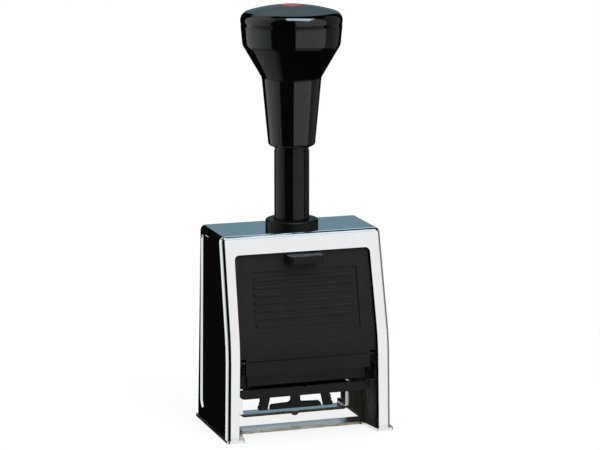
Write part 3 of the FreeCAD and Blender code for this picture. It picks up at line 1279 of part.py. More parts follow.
def cover_layer(low, high, recess, thick, half_low, half_high, corner_r):
    """Part of a layer parallel to the front wall, between two heights and two half-widths."""
    outer = front_corners(recess, low, high)
    inner = front_corners(recess + thick, low, high)
    layer = slab("x", outer + inner[::-1], -BODY_WIDTH, BODY_WIDTH)
    corners = [(-half_low, low), (-half_high, high, corner_r), (half_high, high, corner_r), (half_low, low)]
    return layer.common(slab("y", corners, -FLANGE_HALF_X, FLANGE_HALF_X))


def cover_groove(low, high, half, depth):
    """Shallow recess in the cover's slanted face, straight along X."""
    extra = COVER_RECESS - OVER
    outline_yz = [(front_y(low, extra), low), (front_y(high, extra), high),
                  (front_y(high, COVER_RECESS + depth), high), (front_y(low, COVER_RECESS + depth), low)]
    return slab("x", outline_yz, -half, half)


def make_front_cover():
    top = WINDOW_TOP_Z - COVER_TOP_GAP
    half_low = window_half(COVER_NOTCH_Z) - COVER_SIDE_GAP
    half_high = window_half(top) - COVER_SIDE_GAP
    panel = cover_layer(COVER_NOTCH_Z, top, COVER_RECESS, COVER_WALL, half_low, half_high, COVER_R)
    band = block((-COVER_BAND_HALF, COVER_BAND_HALF),
                 (FRONT_FOOT_Y + COVER_RECESS, FRONT_FOOT_Y + COVER_RECESS + COVER_WALL),
                 (COVER_LOW_Z, COVER_NOTCH_Z + RUN_FIT))
    tab = slab("z", [(-TAB_HALF, TAB_FRONT_Y, TAB_R), (TAB_HALF, TAB_FRONT_Y, TAB_R),
                     (TAB_HALF, front_y(TAB_LOW_Z, COVER_RECESS + COVER_WALL / 2)),
                     (-TAB_HALF, front_y(TAB_LOW_Z, COVER_RECESS + COVER_WALL / 2))], TAB_LOW_Z, TAB_TOP_Z)
    hinge = (HINGE_Y, HINGE_Z)
    inner_y = FRONT_FOOT_Y + COVER_RECESS + COVER_WALL
    knuckle_in = COVER_BAND_HALF - KNUCKLE_THICK
    web = block((knuckle_in, COVER_BAND_HALF), (inner_y - COVER_WALL / 2, HINGE_Y),
                (HINGE_Z - HINGE_EYE_R, HINGE_Z + HINGE_EYE_R))
    knuckle = joined(web, rod("x", HINGE_EYE_R, hinge, knuckle_in, COVER_BAND_HALF))
    cover = joined(panel, band, tab, knuckle, mirrored(knuckle))
    field = cover_groove(PANEL_LOW_Z, PANEL_TOP_Z, PANEL_HALF, PANEL_DEPTH)
    pitch = (PANEL_TOP_Z - PANEL_LOW_Z) / (RIB_COUNT + 1)
    for rib in range(RIB_COUNT):
        middle = PANEL_LOW_Z + pitch * (rib + 1)
        rib_z = (middle - RIB_WIDTH / 2, middle + RIB_WIDTH / 2)
        field = field.cut(cover_groove(*rib_z, PANEL_HALF - PANEL_R, PANEL_DEPTH))
    plain = cover_groove(PLAIN_LOW_Z, PLAIN_TOP_Z, PLAIN_HALF, PANEL_DEPTH / 2)
    line_z = COVER_NOTCH_Z - LINE_WIDTH * 2
    line = block((-COVER_BAND_HALF - OVER, COVER_BAND_HALF + OVER),
                 (FRONT_FOOT_Y, FRONT_FOOT_Y + COVER_RECESS + LINE_DEPTH),
                 (line_z - LINE_WIDTH / 2, line_z + LINE_WIDTH / 2))
    pins = rod("x", HINGE_PIN_R + RUN_FIT, hinge, -BODY_WIDTH, BODY_WIDTH)
    return cover.cut([field, plain, line, pins])


def make_cover_hinge_pins():
    return both_sides(rod("x", HINGE_PIN_R, (HINGE_Y, HINGE_Z), COVER_BAND_HALF - KNUCKLE_THICK, RAIL_IN))


def make_front_bracket():
    """Apron under the cover, with a wing before each rail and a hinge cheek on each wing."""
    apron = slab("x", [(APRON_FRONT_Y, APRON_LOW_Z, APRON_R), (APRON_FRONT_Y, APRON_TOP_Z, APRON_R),
                       (BEAM_FRONT_Y, APRON_TOP_Z), (BEAM_FRONT_Y, APRON_LOW_Z)], -APRON_HALF, APRON_HALF)
    upper_y = RAIL_FRONT_Y - WING_THICK
    wing = slab("x", [(BEAM_FRONT_Y, WING_LOW_Z), (BEAM_FRONT_Y, WING_STEP_Z), (upper_y, WING_STEP_Z),
                      (upper_y, COVER_NOTCH_Z), (RAIL_FRONT_Y, COVER_NOTCH_Z), (RAIL_FRONT_Y, WING_LOW_Z)],
                BAIL_IN, RAIL_IN + RAIL_THICK / 2)
    foot = (BEAM_FRONT_Y + BEAM_THICK / 2, (APRON_LOW_Z + APRON_TOP_Z) / 2)
    cheek = link_plate(foot, BEAM_THICK, (HINGE_Y, HINGE_Z), BRACKET_EYE_R, CHEEK_BRACKET_IN, RAIL_IN)
    hole = rod("x", HINGE_PIN_R, (HINGE_Y, HINGE_Z), -RAIL_IN, RAIL_IN)
    return joined(apron, wing, mirrored(wing), cheek, mirrored(cheek)).cut(hole)


def main():
    os.makedirs("parts", exist_ok=True)
    save("housing", make_housing())
    save("base_plate", make_base_plate())
    save("collar_bush", make_collar_bush())
    save("collar_nut", make_collar_nut())
    save("guide_rail_left", make_left_rail())
    save("guide_rail_right", make_right_rail())
    save("rail_screws", Part.makeCompound([make_rail_screw(x, y) for x, y in rail_screw_places()]))
    save("cross_bar", make_cross_bar())
    save("spring_seat", make_spring_seat())
    save("return_spring", make_return_spring())
    save("front_bracket", make_front_bracket())
    save("cover_hinge_pins", make_cover_hinge_pins())
    save("front_cover", make_front_cover())

    save("stem_tube", make_stem_tube())
    save("stem_plug", make_stem_plug())
    save("stem_nut", make_stem_nut())
    save("knob_grip", make_knob_grip())
    save("knob_cap", make_knob_cap())
    save("knob_button", make_knob_button())
    save("knob_screw", make_knob_screw())
    save("bridge", make_bridge())
    right_side = make_carriage_side()
    save("carriage_side_right", right_side)
    save("carriage_side_left", mirrored(right_side).cut(arc_slot()))
    save("guide_shoe_right", make_guide_shoe())
    save("guide_shoe_left", mirrored(make_guide_shoe()))
    screws = [both_sides(make_side_screw(place)) for place in side_screw_places()]
    save("side_screws", Part.makeCompound(screws))
    save("wheel_axle", make_wheel_axle())
    save("axle_clips", make_axle_clips())
    save("spacer_bushes", make_spacer_bushes())
    save("detent_comb", make_detent_comb())
    save("bail_pivot_pins", make_bail_pivot_pins())

    save("pad_bail", make_pad_bail())
    save("bail_roller", make_bail_roller())
    save("pad_cassette", make_pad_cassette())
    save("cassette_handle", make_cassette_handle())
    save("ink_pad", make_ink_pad())

    save("pawl_rocker", make_pawl_rocker())
    save("pawl_shaft", make_pawl_shaft())
    save("pawl_comb", make_pawl_comb())
    save("pawl_spring", make_pawl_spring())

    for index in range(WHEEL_COUNT):
        save("number_wheel_%d" % (index + 1), make_number_wheel(index))
        save("ratchet_wheel_%d" % (index + 1), make_ratchet_wheel(index))


main()
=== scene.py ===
import bmesh
import bpy
import json
import math
from mathutils import Matrix, Vector, noise


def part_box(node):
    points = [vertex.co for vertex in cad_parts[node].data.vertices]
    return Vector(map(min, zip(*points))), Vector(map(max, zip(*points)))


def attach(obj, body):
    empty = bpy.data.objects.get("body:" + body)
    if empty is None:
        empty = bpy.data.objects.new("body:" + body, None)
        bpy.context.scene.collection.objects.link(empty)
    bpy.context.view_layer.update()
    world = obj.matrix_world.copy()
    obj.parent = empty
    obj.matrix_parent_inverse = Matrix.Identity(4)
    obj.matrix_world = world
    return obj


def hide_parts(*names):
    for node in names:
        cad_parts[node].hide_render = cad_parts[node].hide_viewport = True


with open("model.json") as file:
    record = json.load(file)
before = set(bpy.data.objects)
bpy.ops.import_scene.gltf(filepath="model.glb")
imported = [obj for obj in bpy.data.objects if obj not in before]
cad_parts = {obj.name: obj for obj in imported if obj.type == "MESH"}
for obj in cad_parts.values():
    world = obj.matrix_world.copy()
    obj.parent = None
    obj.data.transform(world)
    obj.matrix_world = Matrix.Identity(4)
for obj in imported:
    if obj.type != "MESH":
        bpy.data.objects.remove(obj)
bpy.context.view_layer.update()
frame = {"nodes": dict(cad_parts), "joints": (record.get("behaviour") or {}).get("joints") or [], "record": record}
nodes = frame["nodes"]

MM = 0.001
MICRON = 0.001 * MM


# Camera, matched to the photograph

IMAGE_WIDTH = 600
FOCAL_PIXELS = 2660.71
SENSOR = 36.0
YAW = math.radians(18.0818)
PITCH = math.radians(11.0517)
ROLL = math.radians(-0.053)
AIM = Vector((3.006, 1.7, 70.476)) * MM
DISTANCE = 927.33 * MM
CLIP_NEAR = 0.01
CLIP_FAR = 20

back = Vector((-math.sin(YAW) * math.cos(PITCH), -math.cos(YAW) * math.cos(PITCH), math.sin(PITCH)))
camera_data = bpy.data.cameras.new("camera")
camera_data.sensor_width = SENSOR
camera_data.lens = FOCAL_PIXELS / IMAGE_WIDTH * SENSOR
camera_data.clip_start = CLIP_NEAR
camera_data.clip_end = CLIP_FAR
camera = bpy.data.objects.new("camera", camera_data)
bpy.context.scene.collection.objects.link(camera)
camera.location = AIM + back * DISTANCE
camera.rotation_mode = "QUATERNION"
camera.rotation_quaternion = back.to_track_quat("Z", "Y") @ Matrix.Rotation(ROLL, 3, "Z").to_quaternion()
bpy.context.scene.camera = camera


# Node helpers

class Graph:
    """Short names for building a node tree."""

    def __init__(self, tree):
        self.tree = tree

    def feed(self, made, name, value):
        if isinstance(value, bpy.types.NodeSocket):
            self.tree.links.new(value, made.inputs[name])
        else:
            made.inputs[name].default_value = value

    def node(self, kind, **inputs):
        made = self.tree.nodes.new(kind)
        for name, value in inputs.items():
            self.feed(made, name.replace("_", " "), value)
        return made

    def math(self, operation, first, second=None):
        made = self.tree.nodes.new("ShaderNodeMath")
        made.operation = operation
        self.feed(made, 0, first)
        if second is not None:
            self.feed(made, 1, second)
        return made.outputs[0]

    def times(self, first, second):
        return self.math("MULTIPLY", first, second)

    def span(self, value, low, high, out_low=0.0, out_high=1.0):
        """Smooth change from out_low to out_high as value goes from low to high."""
        made = self.tree.nodes.new("ShaderNodeMapRange")
        made.interpolation_type = "SMOOTHSTEP"
        for name, number in (("Value", value), ("From Min", low), ("From Max", high),
                             ("To Min", out_low), ("To Max", out_high)):
            self.feed(made, name, number)
        return made.outputs["Result"]

    def fall(self, value, low, high):
        """Smooth fall from 1 to 0 as value goes from low to high."""
        return self.span(value, low, high, 1.0, 0.0)

    def ramp(self, value, low, high):
        """Straight rise from 0 to 1 as value goes from low to high."""
        return self.node("ShaderNodeMapRange", Value=value, From_Min=low, From_Max=high).outputs["Result"]

    def window(self, value, low, high, soft):
        """1 between low and high, with soft edges."""
        rise = self.span(value, low - soft, low + soft)
        return self.times(rise, self.fall(value, high - soft, high + soft))

    def mix(self, factor, first, second):
        made = self.tree.nodes.new("ShaderNodeMix")
        made.data_type = "RGBA"
        self.feed(made, 0, factor)
        self.feed(made, 6, first)
        self.feed(made, 7, second)
        return made.outputs[2]

    def blend_shaders(self, factor, first, second):
        made = self.tree.nodes.new("ShaderNodeMixShader")
        self.feed(made, 0, factor)
        self.feed(made, 1, first)
        self.feed(made, 2, second)
        return made.outputs[0]

    def noise(self, vector, scale, detail=4.0, roughness=0.5):
        made = self.node("ShaderNodeTexNoise", Vector=vector, Scale=scale, Detail=detail,
                         Roughness=roughness)
        return made.outputs["Fac"]

    def place(self, stretch=(1, 1, 1)):
        """Object coordinates, stretched along the axes."""
        source = self.node("ShaderNodeTexCoord").outputs["Object"]
        return self.node("ShaderNodeMapping", Vector=source, Scale=stretch).outputs[0]

    def normal(self):
        """Parts of the surface's own normal."""
        source = self.node("ShaderNodeTexCoord").outputs["Normal"]
        return self.node("ShaderNodeSeparateXYZ", Vector=source).outputs

    def plain_sight(self):
        """1 for what the camera sees straight or through glass, whose background is white."""
        rays = self.node("ShaderNodeLightPath").outputs
        return self.math("MAXIMUM", rays["Is Camera Ray"], rays["Is Transmission Ray"])


def rgba(red, green, blue):
    return (red, green, blue, 1.0)


WHITE = rgba(1.0, 1.0, 1.0)


# Studio. What mirrors show is the dark room of the photograph, with its soft boxes; the camera sees white.
# A box is azimuth from, to and softness, then elevation from, to and softness, in degrees. Azimuth counts
# from straight before the cover, right positive.

ROOM = rgba(0.003, 0.003, 0.003)
RIGHT_WALL = (66.0, 122.0, 5.0, -27.0, 45.0, 4.0)
RIGHT_WALL_COLOUR = rgba(0.20, 0.215, 0.20)
REAR_BLUE = (146.0, 173.0, 2.0, 3.0, 55.0, 2.5)
REAR_BLUE_RISE = (13.0, 45.0)
REAR_BLUE_LOW = rgba(0.160, 0.260, 0.315)
REAR_BLUE_HIGH = rgba(0.55, 0.70, 0.78)
REAR_LOW = (152.0, 171.0, 2.0, -58.0, -1.0, 2.5)
REAR_LOW_COLOUR = rgba(0.50, 0.53, 0.54)
REAR_HIGH_LEFT = (-178.0, -150.0, 2.0, 35.0, 58.0, 2.5)
REAR_HIGH_LEFT_COLOUR = rgba(0.60, 0.66, 0.68)
FRONT_LOW = (-8.0, 68.0, 2.0, -47.0, -25.5, 2.5)
FRONT_LOW_COLOUR = rgba(0.32, 0.32, 0.31)
FRONT_RIGHT = (-8.0, 68.0, 2.0, -25.5, 58.0, 2.5)
FRONT_RIGHT_COLOUR = rgba(0.95, 0.945, 0.94)
LEFT = (-146.0, -66.0, 1.5, -63.0, 66.0, 3.5)
LEFT_SIDE_TURN = (-108.0, -62.0)
LEFT_SIDE_REAR = rgba(0.86, 0.97, 0.88)
LEFT_SIDE_FRONT = rgba(0.42, 0.50, 0.43)
LEFT_END_TURN = (-132.0, -118.0)
LEFT_END = rgba(0.97, 0.99, 0.97)
LEFT_DIM_RISE = (-31.0, -24.0)
LEFT_DIM = 0.42
OVERHEAD_RISE = (60.0, 66.0)
OVERHEAD_AWAY = (0.08, 0.0)
OVERHEAD_COLOUR = rgba(0.42, 0.47, 0.44)
LAMP_ACROSS = (-0.12, 0.55)
LAMP_AWAY = (-0.52, -0.02)
LAMP_SOFT = 0.03
LAMP_UP = (0.5, 0.6)
LAMP_GLOW = rgba(8.0, 10.2, 12.0)
EVEN_LIGHT = rgba(0.95, 0.97, 1.0)
EVEN_STRENGTH = 0.50

world = bpy.data.worlds.new("studio")
bpy.context.scene.world = world
world.use_nodes = True
world.node_tree.nodes.clear()
sky = Graph(world.node_tree)
direction = sky.node("ShaderNodeTexCoord").outputs["Generated"]
parts = sky.node("ShaderNodeSeparateXYZ", Vector=direction)
east, north, up = (parts.outputs[axis] for axis in "XYZ")
azimuth = sky.math("DEGREES", sky.math("ARCTAN2", east, sky.times(north, -1.0)))
elevation = sky.math("DEGREES", sky.math("ARCSINE", up))
across = sky.math("SUBTRACT", sky.times(east, math.cos(YAW)), sky.times(north, math.sin(YAW)))
away = sky.math("ADD", sky.times(east, math.sin(YAW)), sky.times(north, math.cos(YAW)))


def room_box(box):
    """1 inside a box of the room."""
    return sky.times(sky.window(azimuth, *box[:3]), sky.window(elevation, *box[3:]))


rear_tint = sky.mix(sky.span(elevation, *REAR_BLUE_RISE), REAR_BLUE_LOW, REAR_BLUE_HIGH)
left_tint = sky.mix(sky.span(azimuth, *LEFT_SIDE_TURN), LEFT_SIDE_REAR, LEFT_SIDE_FRONT)
left_tint = sky.mix(sky.span(azimuth, *LEFT_END_TURN), LEFT_END, left_tint)
left_box = sky.times(room_box(LEFT), sky.span(elevation, *LEFT_DIM_RISE, LEFT_DIM, 1.0))
overhead = sky.times(sky.span(elevation, *OVERHEAD_RISE), sky.span(away, *OVERHEAD_AWAY))
lamp_width = sky.window(across, *LAMP_ACROSS, LAMP_SOFT)
lamp_depth = sky.window(away, *LAMP_AWAY, LAMP_SOFT)
lamp_glow = sky.times(sky.times(lamp_width, lamp_depth), sky.span(up, *LAMP_UP))

room = ROOM
for share, colour in ((room_box(RIGHT_WALL), RIGHT_WALL_COLOUR), (room_box(REAR_BLUE), rear_tint),
                      (room_box(REAR_LOW), REAR_LOW_COLOUR),
                      (room_box(REAR_HIGH_LEFT), REAR_HIGH_LEFT_COLOUR),
                      (room_box(FRONT_LOW), FRONT_LOW_COLOUR), (room_box(FRONT_RIGHT), FRONT_RIGHT_COLOUR),
                      (left_box, left_tint), (overhead, OVERHEAD_COLOUR), (lamp_glow, LAMP_GLOW)):
    room = sky.mix(share, room, colour)

even = sky.node("ShaderNodeBackground", Color=EVEN_LIGHT, Strength=EVEN_STRENGTH)
seen = sky.node("ShaderNodeBackground", Color=WHITE, Strength=1.0)
mirrored_room = sky.node("ShaderNodeBackground", Color=room, Strength=1.0)
mirror_rays = sky.node("ShaderNodeLightPath").outputs["Is Glossy Ray"]
shaded = sky.blend_shaders(mirror_rays, even.outputs[0], mirrored_room.outputs[0])
target = sky.node("ShaderNodeOutputWorld")
sky.feed(target, "Surface", sky.blend_shaders(sky.plain_sight(), shaded, seen.outputs[0]))


# Lamps: place, side length, power and colour, all aimed at the machine's middle. Mirrors don't show them

LAMP_AIM = Vector((0.0, 0.0, 0.05))
LAMPS = {"key": ((0.35, -0.75, 0.65), 0.6, 6.0, (1.0, 0.99, 0.97)),
         "left_fill": ((-0.8, -0.1, 0.45), 0.7, 3.2, (0.95, 0.98, 1.0)),
         "top": ((0.0, 0.15, 0.9), 0.8, 4.5, (0.97, 0.98, 1.0))}

for name, (lamp_place, side, power, colour) in LAMPS.items():
    data = bpy.data.lights.new(name, "AREA")
    data.shape = "RECTANGLE"
    data.size = side
    data.size_y = side
    data.energy = power
    data.color = colour
    light = bpy.data.objects.new(name, data)
    bpy.context.scene.collection.objects.link(light)
    light.location = lamp_place
    light.rotation_mode = "QUATERNION"
    light.rotation_quaternion = (Vector(lamp_place) - LAMP_AIM).to_track_quat("Z", "Y")
    light.visible_glossy = False

bpy.context.scene.view_settings.view_transform = "Standard"
bpy.context.scene.view_settings.look = "None"


# Materials

CLOUD_SPAN = (0.3, 0.7)
FLECK_SPAN = (0.25, 0.75)
FLECK_FINER = 3.0
GRAIN_DETAIL = 6.0
GRAIN_ROUGHNESS = 0.65


def material(name):
    made = bpy.data.materials.new(name)
    made.use_nodes = True
    return made, Graph(made.node_tree), made.node_tree.nodes["Principled BSDF"]


def grained(name, base, tint, metallic, rough, cloud_scale, grain_scale, grain_depth, stretch=(1, 1, 1),
            specular=0.5):
    """Material with cloudy colour and roughness, and a fine grain in the surface."""
    made, graph, shader = material(name)
    place = graph.place(stretch)
    graph.feed(shader, "Metallic", metallic)
    graph.feed(shader, "Specular IOR Level", specular)
    graph.feed(shader, "Roughness", graph.span(graph.noise(place, cloud_scale), *CLOUD_SPAN, *rough))
    fleck = graph.span(graph.noise(place, cloud_scale * FLECK_FINER, GRAIN_DETAIL), *FLECK_SPAN)
    graph.feed(shader, "Base Color", graph.mix(fleck, base, tint))
    grain = graph.noise(place, grain_scale, GRAIN_DETAIL, GRAIN_ROUGHNESS)
    bump = graph.node("ShaderNodeBump", Strength=1.0, Distance=grain_depth, Height=grain)
    graph.feed(shader, "Normal", bump.outputs[0])
    return made


def reopened(made):
    """Graph and shader of a material that gets one more layer."""
    return Graph(made.node_tree), made.node_tree.nodes["Principled BSDF"]


def source_of(shader, name):
    """What already feeds a socket."""
    return shader.inputs[name].links[0].from_socket


# Plated strips: bright on the sheet's faces; where the metal was cut they get a painted reflection, dark with pale
# streaks, and are rougher

CUT_NORMAL_Z = (0.3, 0.6)
CUT_NORMAL_Y = (0.4, 0.7)
CUT_HALF = (24.0 * MM, 24.6 * MM)
CUT_FADE = 0.1 * MM
CUT_ROUGHER = 0.22
STREAK_STRETCH = (1, 1, 9)
STREAK_SCALE = 260.0
STREAK_DETAIL = 5.0
STREAK_ROUGHNESS = 0.7
STREAK_SPAN = (0.35, 0.65)
PLATE_CLOUD = 60.0
PLATE_GRAIN = 900.0
PLATE_BRIGHT = rgba(0.88, 0.89, 0.90)
PLATE_DULL = rgba(0.83, 0.84, 0.86)


def plated_strip(name, dark, pale, top, rough):
    """Plating on all faces but the cut ones below a height, between the machine's sides, which get a painted
    reflection.
    """
    made, graph, shader = material(name)
    place = graph.place()
    normal = graph.normal()
    spot = graph.node("ShaderNodeSeparateXYZ", Vector=place).outputs
    upright = graph.fall(graph.math("ABSOLUTE", normal["Z"]), *CUT_NORMAL_Z)
    facing = graph.span(graph.math("ABSOLUTE", normal["Y"]), *CUT_NORMAL_Y)
    inside = graph.fall(graph.math("ABSOLUTE", spot["X"]), *CUT_HALF)
    low_down = graph.fall(spot["Z"], top, top + CUT_FADE)
    cut = graph.times(graph.times(upright, facing), graph.times(inside, low_down))
    streak_noise = graph.noise(graph.place(STREAK_STRETCH), STREAK_SCALE, STREAK_DETAIL, STREAK_ROUGHNESS)
    # Painted reflection: the cut faces take a dark colour with pale streaks in place of the plating
    painted_cut_reflection = graph.mix(graph.span(streak_noise, *STREAK_SPAN), dark, pale)
    cloud = graph.noise(place, PLATE_CLOUD)
    plate = graph.mix(cloud, PLATE_BRIGHT, PLATE_DULL)
    graph.feed(shader, "Base Color", graph.mix(cut, plate, painted_cut_reflection))
    graph.feed(shader, "Metallic", 1.0)
    clean_rough = graph.span(cloud, *CLOUD_SPAN, *rough)
    graph.feed(shader, "Roughness", graph.math("ADD", graph.times(cut, CUT_ROUGHER), clean_rough))
    grain = graph.noise(place, PLATE_GRAIN, GRAIN_DETAIL)
    bump = graph.node("ShaderNodeBump", Strength=1.0, Distance=MICRON, Height=grain)
    graph.feed(shader, "Normal", bump.outputs[0])
    return made


def polished_plate(name):
    return grained(name, rgba(0.88, 0.89, 0.90), rgba(0.85, 0.86, 0.88), metallic=1.0, rough=(0.02, 0.045),
                   cloud_scale=45.0, grain_scale=900.0, grain_depth=0.5 * MICRON)


chrome = polished_plate("polished_chrome")
# The two colours given after each name are the painted reflection on the cut faces, dark and pale
foot_strip = plated_strip("plated_foot", rgba(0.20, 0.19, 0.14), rgba(0.62, 0.60, 0.50), top=2.0 * MM,
                          rough=(0.17, 0.23))
bail_strip = plated_strip("plated_bail", rgba(0.014, 0.011, 0.008), rgba(0.10, 0.085, 0.05), top=4.8 * MM,
                          rough=(0.12, 0.18))
knob_black = grained("knob_black", rgba(0.0010, 0.0010, 0.0011), rgba(0.0016, 0.0016, 0.0016), metallic=0.0,
                     rough=(0.045, 0.075), cloud_scale=60.0, grain_scale=700.0, grain_depth=MICRON)
enamel = grained("stem_enamel", rgba(0.0010, 0.0010, 0.0011), rgba(0.0020, 0.0020, 0.0020), metallic=0.0,
                 rough=(0.13, 0.19), cloud_scale=80.0, grain_scale=900.0, grain_depth=2 * MICRON,
                 stretch=(1, 1, 0.2), specular=0.26)
collar_black = grained("collar_black", rgba(0.0016, 0.0016, 0.0016), rgba(0.0030, 0.0030, 0.0030),
                       metallic=0.0, rough=(0.30, 0.42), cloud_scale=90.0, grain_scale=1600.0,
                       grain_depth=4 * MICRON, specular=0.14)
cover_black = grained("cover_moulding", rgba(0.0032, 0.0033, 0.0030), rgba(0.0043, 0.0043, 0.0039),
                      metallic=0.0, rough=(0.38, 0.50), cloud_scale=60.0, grain_scale=2600.0,
                      grain_depth=12 * MICRON, specular=0.23)
rail_black = grained("rail_moulding", rgba(0.014, 0.014, 0.011), rgba(0.085, 0.083, 0.064), metallic=0.0,
                     rough=(0.10, 0.20), cloud_scale=120.0, grain_scale=900.0, grain_depth=3 * MICRON,
                     stretch=(1, 5, 0.3), specular=0.25)
red = grained("button_red", rgba(0.30, 0.028, 0.016), rgba(0.36, 0.035, 0.020), metallic=0.0,
              rough=(0.25, 0.35), cloud_scale=300.0, grain_scale=2000.0, grain_depth=4 * MICRON)
steel = grained("oiled_steel", rgba(0.50, 0.50, 0.49), rgba(0.38, 0.38, 0.37), metallic=1.0,
                rough=(0.22, 0.36), cloud_scale=120.0, grain_scale=1500.0, grain_depth=10 * MICRON,
                stretch=(1, 1, 6))
type_steel = grained("type_steel", rgba(0.42, 0.42, 0.42), rgba(0.30, 0.30, 0.31), metallic=1.0,
                     rough=(0.24, 0.40), cloud_scale=200.0, grain_scale=1500.0, grain_depth=10 * MICRON)
brass = grained("turned_brass", rgba(0.70, 0.52, 0.24), rgba(0.58, 0.42, 0.18), metallic=1.0,
                rough=(0.22, 0.36), cloud_scale=200.0, grain_scale=1500.0, grain_depth=10 * MICRON)
felt = grained("inked_felt", rgba(0.010, 0.010, 0.026), rgba(0.022, 0.022, 0.05), metallic=0.0,
               rough=(0.75, 0.95), cloud_scale=400.0, grain_scale=4000.0, grain_depth=150 * MICRON)

# Cover: its upward faces are duller

DULL_NORMAL_Z = (0.5, 0.8)
DULL_ROUGHER = 0.25

cover_graph, cover_shader = reopened(cover_black)
dull = cover_graph.span(cover_graph.normal()["Z"], *DULL_NORMAL_Z, 0.0, DULL_ROUGHER)
cover_graph.feed(cover_shader, "Roughness",
                 cover_graph.math("ADD", source_of(cover_shader, "Roughness"), dull))

# Knob: the moulded bevel above the seam between grip and cap shades steeper than its solid

SEAM_START = 0.3 * MM
SEAM_END = 2.5 * MM
SEAM_STEP = 0.30 * MM

seam_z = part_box("knob_grip")[1][2]
knob_graph, knob_shader = reopened(knob_black)
knob_spot = knob_graph.node("ShaderNodeSeparateXYZ", Vector=knob_graph.place()).outputs
seam = knob_graph.node("ShaderNodeBump", Strength=1.0, Distance=SEAM_STEP,
                       Height=knob_graph.ramp(knob_spot["Z"], seam_z + SEAM_START, seam_z + SEAM_END),
                       Normal=source_of(knob_shader, "Normal"))
knob_graph.feed(knob_shader, "Normal", seam.outputs[0])

# Housing: painted shade darkens the plating along the bend between its front and its top, damping the lamp's
# reflection there

SHADED_BEND_NORMAL_Z = (0.46, 0.76)
SHADED_BEND_SOFT = 0.012
SHADED_BEND_NORMAL_Y = (-0.5, -0.3)
PAINTED_BEND_SHADE = rgba(0.085, 0.085, 0.080)

housing_chrome = polished_plate("housing_chrome")
sheet_graph, sheet_shader = reopened(housing_chrome)
sheet_normal = sheet_graph.normal()
bend = sheet_graph.times(sheet_graph.window(sheet_normal["Z"], *SHADED_BEND_NORMAL_Z, SHADED_BEND_SOFT),
                         sheet_graph.fall(sheet_normal["Y"], *SHADED_BEND_NORMAL_Y))
# Painted shade: the base colour turns dark where the normal faces up and forward along that bend
sheet_graph.feed(sheet_shader, "Base Color",
                 sheet_graph.mix(bend, source_of(sheet_shader, "Base Color"), PAINTED_BEND_SHADE))

SLOT_LOOKS = {"chrome": chrome, "knob_plastic": knob_black, "black_enamel": enamel,
              "cover_plastic": cover_black, "rail_plastic": rail_black, "red_plastic": red, "ink_felt": felt,
              "steel": steel, "wheel_steel": type_steel, "brass": brass}
NODE_LOOKS = {"base_plate": foot_strip, "pad_bail": bail_strip, "collar_bush": collar_black,
              "housing": housing_chrome}
for subpart in frame["record"]["subparts"]:
    piece = nodes[subpart["node"]]
    piece.data.materials.clear()
    piece.data.materials.append(NODE_LOOKS.get(subpart["node"], SLOT_LOOKS[subpart["material_slot"]]))


# Raised, mirrored digits on the type wheels' flats

DIGITS = 10
DIGIT_SIZE = 4.3 * MM
DIGIT_RISE = 0.12 * MM
DIGIT_SINK = 0.03 * MM
DIGIT_CURVE_STEPS = 3
WHEEL_COUNT = 6
AXLE = Vector(next(j["pos_m"] for j in frame["joints"] if j["name"] == "number_wheel_1_spin"))


def digit_shape(digit):
    """Corners and faces of a numeral, centred on its middle and lying flat."""
    curve = bpy.data.curves.new("numeral", "FONT")
    curve.body = str(digit)
    curve.size = DIGIT_SIZE
    curve.resolution_u = DIGIT_CURVE_STEPS
    curve.extrude = (DIGIT_RISE + DIGIT_SINK) / 2
    holder = bpy.data.objects.new("numeral", curve)
    mesh = bpy.data.meshes.new_from_object(holder)
    corners = [vertex.co.copy() for vertex in mesh.vertices]
    faces = [tuple(face.vertices) for face in mesh.polygons]
    bpy.data.objects.remove(holder)
    bpy.data.curves.remove(curve)
    bpy.data.meshes.remove(mesh)
    middle = [(min(c[axis] for c in corners) + max(c[axis] for c in corners)) / 2 for axis in range(2)]
    return [(c.x - middle[0], c.y - middle[1], c.z) for c in corners], faces


numerals = [digit_shape(digit) for digit in range(DIGITS)]
for number in range(1, WHEEL_COUNT + 1):
    low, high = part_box(f"number_wheel_{number}")
    flat = AXLE.z - low[2]
    corners = []
    faces = []
    for digit, (shape, sides) in enumerate(numerals):
        turn = math.tau * digit / DIGITS
        first = len(corners)
        for width, height, depth in shape:
            radius = flat + depth + (DIGIT_RISE - DIGIT_SINK) / 2
            corners.append(((low[0] + high[0]) / 2 + width,
                            AXLE.y + height * math.cos(turn) + radius * math.sin(turn),
                            AXLE.z + height * math.sin(turn) - radius * math.cos(turn)))
        faces += [tuple(first + corner for corner in face) for face in sides]
    mesh = bpy.data.meshes.new(f"type_{number}")
    mesh.from_pydata(corners, [], faces)
    mesh.materials.append(type_steel)
    digits = bpy.data.objects.new(f"type_{number}", mesh)
    bpy.context.scene.collection.objects.link(digits)
    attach(digits, f"wheel_{number}")


# Ink pad: a felt block with soft, worn edges

PAD_EDGE = 0.7 * MM
PAD_EDGE_STEPS = 4
PAD_CORNER = math.radians(60)
PAD_CUTS = 28
PAD_NAP = 0.06 * MM
PAD_NAP_SHARE = 0.5
PAD_NAP_PER_MM = 0.9

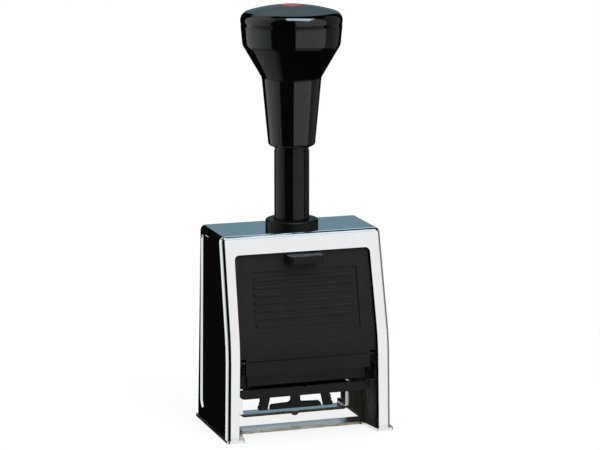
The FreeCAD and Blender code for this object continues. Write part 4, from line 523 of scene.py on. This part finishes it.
low, high = (Vector(corner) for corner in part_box("ink_pad"))
shape = bmesh.new()
bmesh.ops.create_cube(shape, size=1.0)
for vertex in shape.verts:
    vertex.co = Vector((low[axis] if vertex.co[axis] < 0 else high[axis] for axis in range(3)))
long_edges = [edge for edge in shape.edges if edge.calc_length() > (high.x - low.x) / 2]
bmesh.ops.subdivide_edges(shape, edges=long_edges, cuts=PAD_CUTS, use_grid_fill=True)
half_depth = (high.y - low.y) / 2
cross_edges = [edge for edge in shape.edges if abs((edge.verts[0].co - edge.verts[1].co).y) > half_depth]
bmesh.ops.subdivide_edges(shape, edges=cross_edges, cuts=PAD_CUTS // 2, use_grid_fill=True)
corners = [edge for edge in shape.edges if edge.calc_face_angle(0) > PAD_CORNER]
bmesh.ops.bevel(shape, geom=corners, offset=PAD_EDGE, segments=PAD_EDGE_STEPS, profile=0.5, affect="EDGES")
middle = (low + high) / 2
for vertex in shape.verts:
    nap = noise.noise(vertex.co / MM * PAD_NAP_PER_MM) * PAD_NAP
    inward = (middle - vertex.co).normalized()
    vertex.co += inward * (PAD_NAP + nap) * PAD_NAP_SHARE
bmesh.ops.recalc_face_normals(shape, faces=shape.faces)
mesh = bpy.data.meshes.new("felt_pad")
shape.to_mesh(mesh)
shape.free()
mesh.shade_smooth()
mesh.materials.append(felt)
pad = bpy.data.objects.new("felt_pad", mesh)
bpy.context.scene.collection.objects.link(pad)
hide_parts("ink_pad")
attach(pad, "pad_frame")


# Floor: paper that fades to the white background away from the machine

FLOOR_HALF = 3.0
FLOOR_NEAR = 0.03
FLOOR_FAR = 0.20
SHADOW_KEPT = 0.20

floor_mesh = bpy.data.meshes.new("floor")
floor_mesh.from_pydata([(-FLOOR_HALF, -FLOOR_HALF, 0), (FLOOR_HALF, -FLOOR_HALF, 0),
                        (FLOOR_HALF, FLOOR_HALF, 0), (-FLOOR_HALF, FLOOR_HALF, 0)], [], [(0, 1, 2, 3)])
floor = bpy.data.objects.new("floor", floor_mesh)
bpy.context.scene.collection.objects.link(floor)
floor_look = grained("floor_paper", rgba(0.93, 0.93, 0.93), rgba(0.91, 0.91, 0.91), metallic=0.0,
                     rough=(0.6, 0.8), cloud_scale=3.0, grain_scale=400.0, grain_depth=20 * MICRON)
paper, paper_shader = reopened(floor_look)
distance = paper.node("ShaderNodeVectorMath", Vector=paper.place())
distance.operation = "LENGTH"
share = paper.span(distance.outputs["Value"], FLOOR_NEAR, FLOOR_FAR, 1.0 - SHADOW_KEPT, 1.0)
glow = paper.node("ShaderNodeEmission", Color=WHITE, Strength=1.0)
ground = paper.blend_shaders(paper.times(paper.plain_sight(), share), paper_shader.outputs[0],
                             glow.outputs[0])
paper.feed(floor_look.node_tree.nodes["Material Output"], "Surface", ground)
floor_mesh.materials.append(floor_look)
floor.visible_glossy = False
